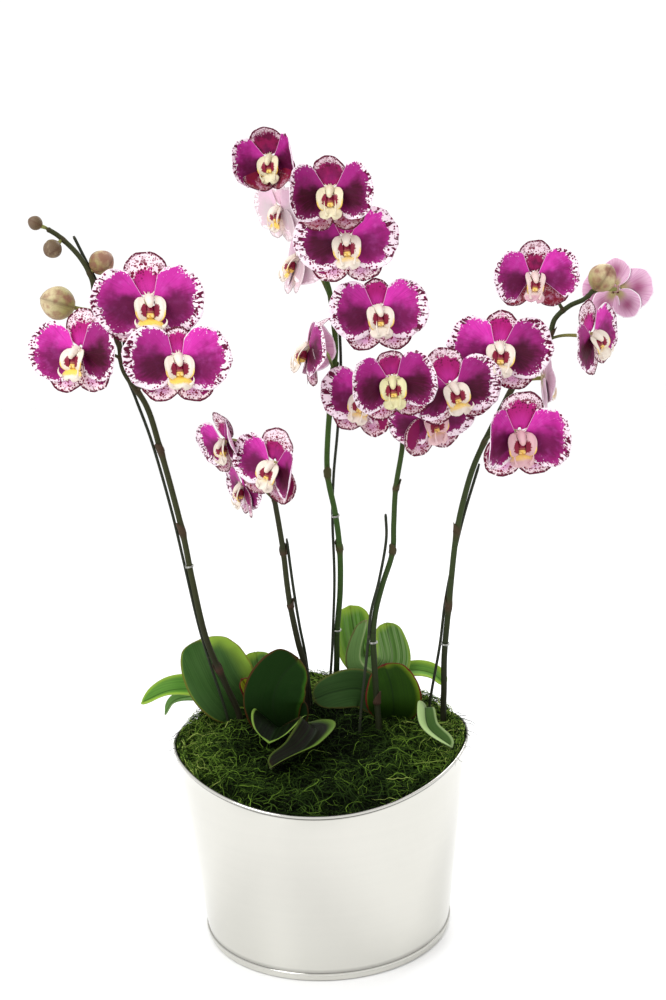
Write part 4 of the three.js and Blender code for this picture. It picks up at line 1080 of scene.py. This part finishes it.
def bloom_pieces(name, form, skin, lip_skin, rng):
    """The three sepals and two petals round their hub, and the lip in front of it."""
    size, turn, spread, lap = form["size"], rotation(form["turn"]), form["spread"], form["lap"]
    fade, gloom, seed = form["fade"], form["gloom"], rng.uniform(0, 50)

    def place(local):
        return local @ (turn.T * size) + form["at"]

    # kind, angle, fold, lower side, reaches, length, darkness and the mark of each tepal; the
    # darkness is painted shade on the petals and, on the top sepal, how far up it is magenta
    tepals = [(1, form["top"], form["hood"], 1, None, form["crest"], form["cap"], gloom),
              (2, -spread, lap, -1, None, 1, 0.5, gloom), (2, spread, lap, 1, None, 1, 0.5, gloom)]
    for k, hand in enumerate((-1, 1)):
        wing, fold, high, low, dark, white = (
            form[key][k] for key in ("wing", "fold", "open", "low", "dark", "white"))
        tepals.append((0, hand * wing, fold, hand, (high, low), 1, dark, white))
    solid = Solid()
    for *shape, shade, mark in tepals:
        seed += 1
        tepal(solid, *shape, seed, (fade, shade, mark), place, rng)
    hub = place(stacked(0, np.linspace(HUB_BACK, HUB_FRONT - 0.8, 9), 0))
    radii = np.array([0.45, 0.7, 0.88, 0.98, 1, 1, 0.97, 0.85, 0.5]) * HUB_RADIUS * size
    tube(solid, hub, radii, 20, fan=(0, 0.1, 2), edge=(10, 10, 0), tone=(fade, 0.5, 0), front=0,
         flat=(0, 0, seed))
    whole = name in HIDDEN_LIPS
    solid.piece(f"tepals_{name}", skin, "petal", [f"bloom_{name}" if whole else f"perianth_{name}"])
    lip(name, place, size, lip_skin, [] if whole else [f"lip_{name}"], LIPS.get(name, {}), rng)


def lip(name, place, size, skin, replaces, form, rng):
    """The column with its cap and ragged collar, two upright side lobes, the callus between
    them, and the middle lobe in front with its two slender hooks."""
    solid = Solid()
    aside, horn = form.get("aside", rng.uniform(-8, 8)), form.get("horn", 0)
    tint = linear(form.get("tint", (255, 255, 255)))
    veer = rotation((aside, rng.uniform(-3, 3), rng.uniform(-3, 3))).T

    def skinned(shape, local, **values):
        shape(solid, place(local @ veer), local=local, tint=tint, **values)

    def rod(line, stops, radii, sides, mark):
        """A tube whose radius follows the stops along it."""
        share = np.linspace(0, 1, len(line))
        skinned(tube, line, radii=np.interp(share, stops, radii) * size, sides=sides, mark=mark)

    # column: it arches forward and droops into a broad cap with a tan tip
    t = np.linspace(0, 1, 24)
    tan = np.exp(-((t - 0.84) / 0.08) ** 2)
    rod(stacked(0, HUB_FRONT - 0.3 - 9 * smooth(t * 1.1), 2 - 8.6 * t ** 1.8),
        [0, 0.25, 0.5, 0.72, 0.88, 0.96, 1], [4.4, 4.3, 3.8, 3.2, 2.5, 1.6, 0.5], 22,
        stacked(0.1 + 0.3 * tan, 0, 0.08 + 0.5 * tan))
    # throat: crimson behind the cap, mottled yellow below it; its dark crimson is partly the lip's
    # own colour and partly painted shade in the gap between the side lobes
    t = np.linspace(0, 1, 14)
    rod(stacked(0, -3.4 - 3 * t, -2 - 14 * t), [0, 0.2, 0.6, 0.9, 1], [1, 3.6, 4.8, 3.8, 0.8], 18,
        stacked(0.3 + 0.8 * t, 0.95 - 0.62 * smooth(t * 1.6 - 0.5), 0.2))
    # collar: ragged teeth round the column
    for angle in np.linspace(-84, 84, 11) + rng.uniform(-6, 6, 11):
        turn = math.radians(angle)
        reach = np.linspace(0, rng.uniform(5.2, 8.6), 8)
        line = stacked(reach * math.sin(turn), -2.3 - 0.3 * reach * rng.uniform(0.4, 1.5),
                       1 + reach * math.cos(turn) * 0.95)
        skinned(tube, line, radii=np.linspace(2.1, 0.2, 8) ** 1.2 * size * 0.8, sides=8,
                mark=(0, 0, 0.12))
    # side lobes: cupped ears, blotched where they start
    v = np.linspace(-1, 1, 25)[:, None]
    u = np.linspace(0, 1, 21)[None, :]
    for hand in (-1, 1):
        ear = np.clip(1 - np.abs(v) ** 2.6, 0, 1) ** 0.5 * (1 - 0.4 * horn)
        tall = 10.6 + 1.6 * horn + rng.uniform(-0.5, 0.5)
        width = u * (10.4 * ear * (1 + 0.1 * v) + 0.5)
        x = hand * (3.4 + (1.6 + 2 * horn) * smooth(v) + width * np.cos(0.5 * u))
        y = (-4.6 - 4.4 * (1 - v ** 2) - 5.5 * u ** 1.6 * ear + 2.4 * v
             + 2.6 * smooth(u * 2.2 - 1.2) * ear)
        z = -7.6 + v * (tall - 0.6 * u) + 1.4 * u * v - 1.5 * u * (1 - v ** 2)
        yellow = (0.95 * smooth((u - 0.72) * 5) * smooth((0.35 - v) * 1.6)
                  + 0.5 * smooth((-0.6 - v) * 3))
        blotch = 1.35 * np.exp(-((u - 0.06) / 0.46) ** 2 - ((v + 0.12) / 0.58) ** 2)
        surface, mark = stacked(x, y, z), stacked(yellow, blotch * (1 - 0.35 * horn), 0.12)
        skinned(blade, surface[:, ::-hand], thick=0.7, mark=mark[:, ::-hand])
    # middle lobe: an arched tongue towards the front
    v = np.linspace(0, 1, 17)[:, None]
    u = np.linspace(-1, 1, 23)[None, ::-1]
    x = u * np.interp(v, [0, 0.2, 0.5, 0.8, 0.93, 1], [5, 9.2, 11.6, 10.4, 7.4, 3])
    z = -15.6 - 9.4 * v ** 1.2 - 2 * u ** 2 * (0.3 + v) + 0.5 * np.sin(5 * u) * v
    gold = form.get("gold", 1)
    yellow = 1.15 * gold * (1 - smooth((v - 0.2 - 0.3 * gold) * 2.6)) * (1 - 0.4 * u ** 4)
    rosy = 0.08 + 0.75 * horn * smooth(1.4 * v) + 0.7 * np.exp(-(v / 0.1) ** 2)
    skinned(blade, stacked(x, -6.5 - 8.5 * v + 2.6 * u ** 2 * v, z), thick=0.8,
            mark=stacked(yellow, 0.5 * np.exp(-((v - 0.03) / 0.08) ** 2), rosy))
    # hooks
    t = np.linspace(0, 1, 22)
    lift = form.get("lift", rng.uniform(0.3, 0.9))
    for hand in (-1, 1):
        wide = 10.5 - 6.5 * lift + rng.uniform(-1, 1)
        rod(stacked(hand * (wide + (3.6 - 2 * lift) * np.sin(2.2 * t)),
                    -14 - 1.6 * np.sin(2.4 * t), -23 + (6 + 8 * lift) * t ** 1.2),
            [0, 0.3, 0.75, 1], [1.7, 1.1, 0.6, 0.12], 8, (0.05, 0, 0.05))
    # callus: two low mottled humps
    t = np.linspace(0, 1, 12)
    for hand in (-1, 1):
        rod(stacked(hand * (1.1 + 0.9 * t), -5.6 - 5 * t, -11 - 3.6 * t),
            [0, 0.3, 0.7, 0.9, 1], [0.6, 1.3, 1.6, 1.2, 0.4], 12, (0.85, 0.5, 0.1))
    solid.piece(f"lip_of_{name}", skin, "lip", replaces)


# ---------------------------------------------------------------- leaves

LEAF_ROWS, LEAF_COLUMNS = 46, 19


def leaf(solid, form, seed, rng):
    """A leaf folded along its spine, widest near the middle and rounded towards the tip."""
    v, u = np.linspace(0, 1, LEAF_ROWS), np.linspace(-1, 1, LEAF_COLUMNS)
    centre = Line(form["spine"]).at(v)
    ahead = unit(np.gradient(centre, axis=0))
    side = unit(np.cross(ahead, np.array(form["face"], float)))
    up = np.cross(side, ahead)
    blunt = form["blunt"]
    swell = 0.04 + (0.9 - 0.1 * blunt) * v ** (0.75 * form["belly"])
    half = form["width"] / 2 * np.sin(math.pi * swell) ** (0.75 - 0.15 * blunt)
    end = 0.82 + 0.04 * blunt
    half = half * np.sqrt(np.clip(1 - np.clip((v - end) / (1 - end), 0, 1) ** 2.4, 0.004, 1))
    length = np.linalg.norm(np.diff(centre, axis=0), axis=1).sum()
    sway = 1.1 * np.sin(v * length / 16 + rng.uniform(0, 6))[:, None] * np.abs(u) ** 3
    v, half = v[:, None], half[:, None]
    lift = np.sqrt(u ** 2 + 0.012) * form["fold"] * half + sway * smooth(v * 3)
    rib = -0.7 * np.exp(-(u * form["width"] / 2 / 1.6) ** 2)
    across = u * half
    surface = (centre[:, None] + across[..., None] * side[:, None]
               + (lift + rib)[..., None] * up[:, None])
    along = v * length
    edge = np.minimum(half * (1 - np.abs(u)), (1 - along / length) * length * 0.8)
    left, right, margin = form["glow"]
    glow = stacked(left + (right - left) * smooth(0.5 + 2 * u) + 0 * v, margin, form["stripe"])
    blade(solid, surface, 1.5 - 0.9 * np.abs(u) ** 4, flat=stacked(across, along, seed),
          rim=edge, share=v + 0 * u, red=form["red"], glow=glow, lit=linear(form["lit"]),
          upper=linear(form["upper"]), under=linear(form["under"]))


def rosette(key, plant, skin, rng):
    """All the leaves of one plant, and the short crown they grow from."""
    solid = Solid()
    for number, form in enumerate(plant["leaves"]):
        leaf(solid, form, number * 9.0 + ord(key), rng)
    top = plant["top"]
    line = stacked(*plant["foot"], np.linspace(HOLE_FLOOR, top, 12))
    radii = np.interp(line[:, 2], [HOLE_FLOOR, top - 4, top],
                      [CROWN_RADIUS[0], CROWN_RADIUS[1] + 0.5, 3])
    green = linear((46, 60, 26))
    tube(solid, line, radii, 20, flat=line, rim=20, share=0, red=0, front=1, glow=(0, 0, 0),
         upper=green, under=green)
    solid.piece(f"foliage_{key}", skin, "leaf", [f"leaves_{key}"])


# ---------------------------------------------------------------- the whole plant

SEED = 20

rng = np.random.default_rng(SEED)
bucket(metal_material())
# painted shade: the moss's dark body stands for the shade in the gaps between the strands
moss_mound(soil_material("moss_shadow", (8, 14, 5), (30, 42, 14), 60))
moss_strands(moss_material(), rng)
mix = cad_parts["potting_mix"]
mix.data.materials.clear()
mix.data.materials.append(soil_material("bark_mix", (30, 20, 12), (92, 66, 44), 90))

stem_skin, bud_skin = stem_material(), bud_material()
stake_paint, wire = stake_material(), wire_material()
for key, spike in STEMS.items():
    stem_piece(key, spike, stem_skin, rng)
    stake_pieces(key, spike, stake_paint, wire)
for number, bud in enumerate(BUDS, 1):
    bud_piece(number, bud, bud_skin)

petal_skin, lip_skin = petal_material(), lip_material()
for name, form in BLOOMS.items():
    bloom_pieces(name, form, petal_skin, lip_skin, rng)

leaf_skin = leaf_material()
for key, plant in PLANTS.items():
    rosette(key, plant, leaf_skin, rng)

# ---------------------------------------------------------------- camera, light and floor

CAMERA_BACK, CAMERA_UP = 1.130, 0.600
CAMERA_YAW, CAMERA_PITCH, CAMERA_ROLL = 1.03, 9.6, -2.32
SENSOR, LENS = 36, 45


def camera():
    yaw, pitch, roll = (math.radians(d) for d in (CAMERA_YAW, CAMERA_PITCH, CAMERA_ROLL))
    ahead = np.array([math.sin(yaw) * math.cos(pitch), math.cos(yaw) * math.cos(pitch),
                      -math.sin(pitch)])
    level = np.array([math.cos(yaw), -math.sin(yaw), 0])
    upright = np.cross(level, ahead)
    right = math.cos(roll) * level + math.sin(roll) * upright
    up = math.cos(roll) * upright - math.sin(roll) * level
    data = bpy.data.cameras.new("camera")
    data.sensor_width, data.lens = SENSOR, LENS
    data.clip_start, data.clip_end = 0.05, 20
    matrix = np.eye(4)
    matrix[:3] = np.stack([right, up, -ahead, [0, -CAMERA_BACK, CAMERA_UP]], -1)
    made = bpy.context.scene.camera = link("camera", data)
    made.matrix_world = Matrix(matrix)


def area_light(name, place, target, size, power):
    data = bpy.data.lights.new(name, "AREA")
    data.size, data.energy = size, power
    made = link(name, data)
    made.location = place
    away = made.location - target.location
    made.rotation_euler = away.to_track_quat("Z", "Y").to_euler()


def studio():
    """A pale paper floor under a white sky, with a soft light before and one behind."""
    reach = 6
    floor = bpy.data.meshes.new("floor")
    floor.from_pydata([(-reach, -reach, 0), (reach, -reach, 0), (reach, reach, 0),
                       (-reach, reach, 0)], [], [(0, 1, 2, 3)])
    made = link("floor", floor)
    made.location.z = -0.0004
    paper = Shade("floor_paper", 0.35)
    speckle = paper.noise(paper.place(), 30, 3)
    floor.materials.append(paper.finish(paper.mix(speckle, (250, 250, 250), (247, 247, 247))))

    world = bpy.context.scene.world = bpy.data.worlds.new("studio")
    world.use_nodes = True
    sky = world.node_tree.nodes["Background"].inputs
    sky[0].default_value, sky[1].default_value = (1, 1, 1, 1), 1.06

    aim = link("light_aim", None)
    aim.location = (0, 0, 0.4)
    area_light("key_light", (-1.1, -0.9, 1.9), aim, 0.8, 18)
    area_light("back_light", (0.7, 1.2, 1.7), aim, 1.0, 16)


camera()
studio()
bpy.context.scene.view_settings.view_transform = "Standard"
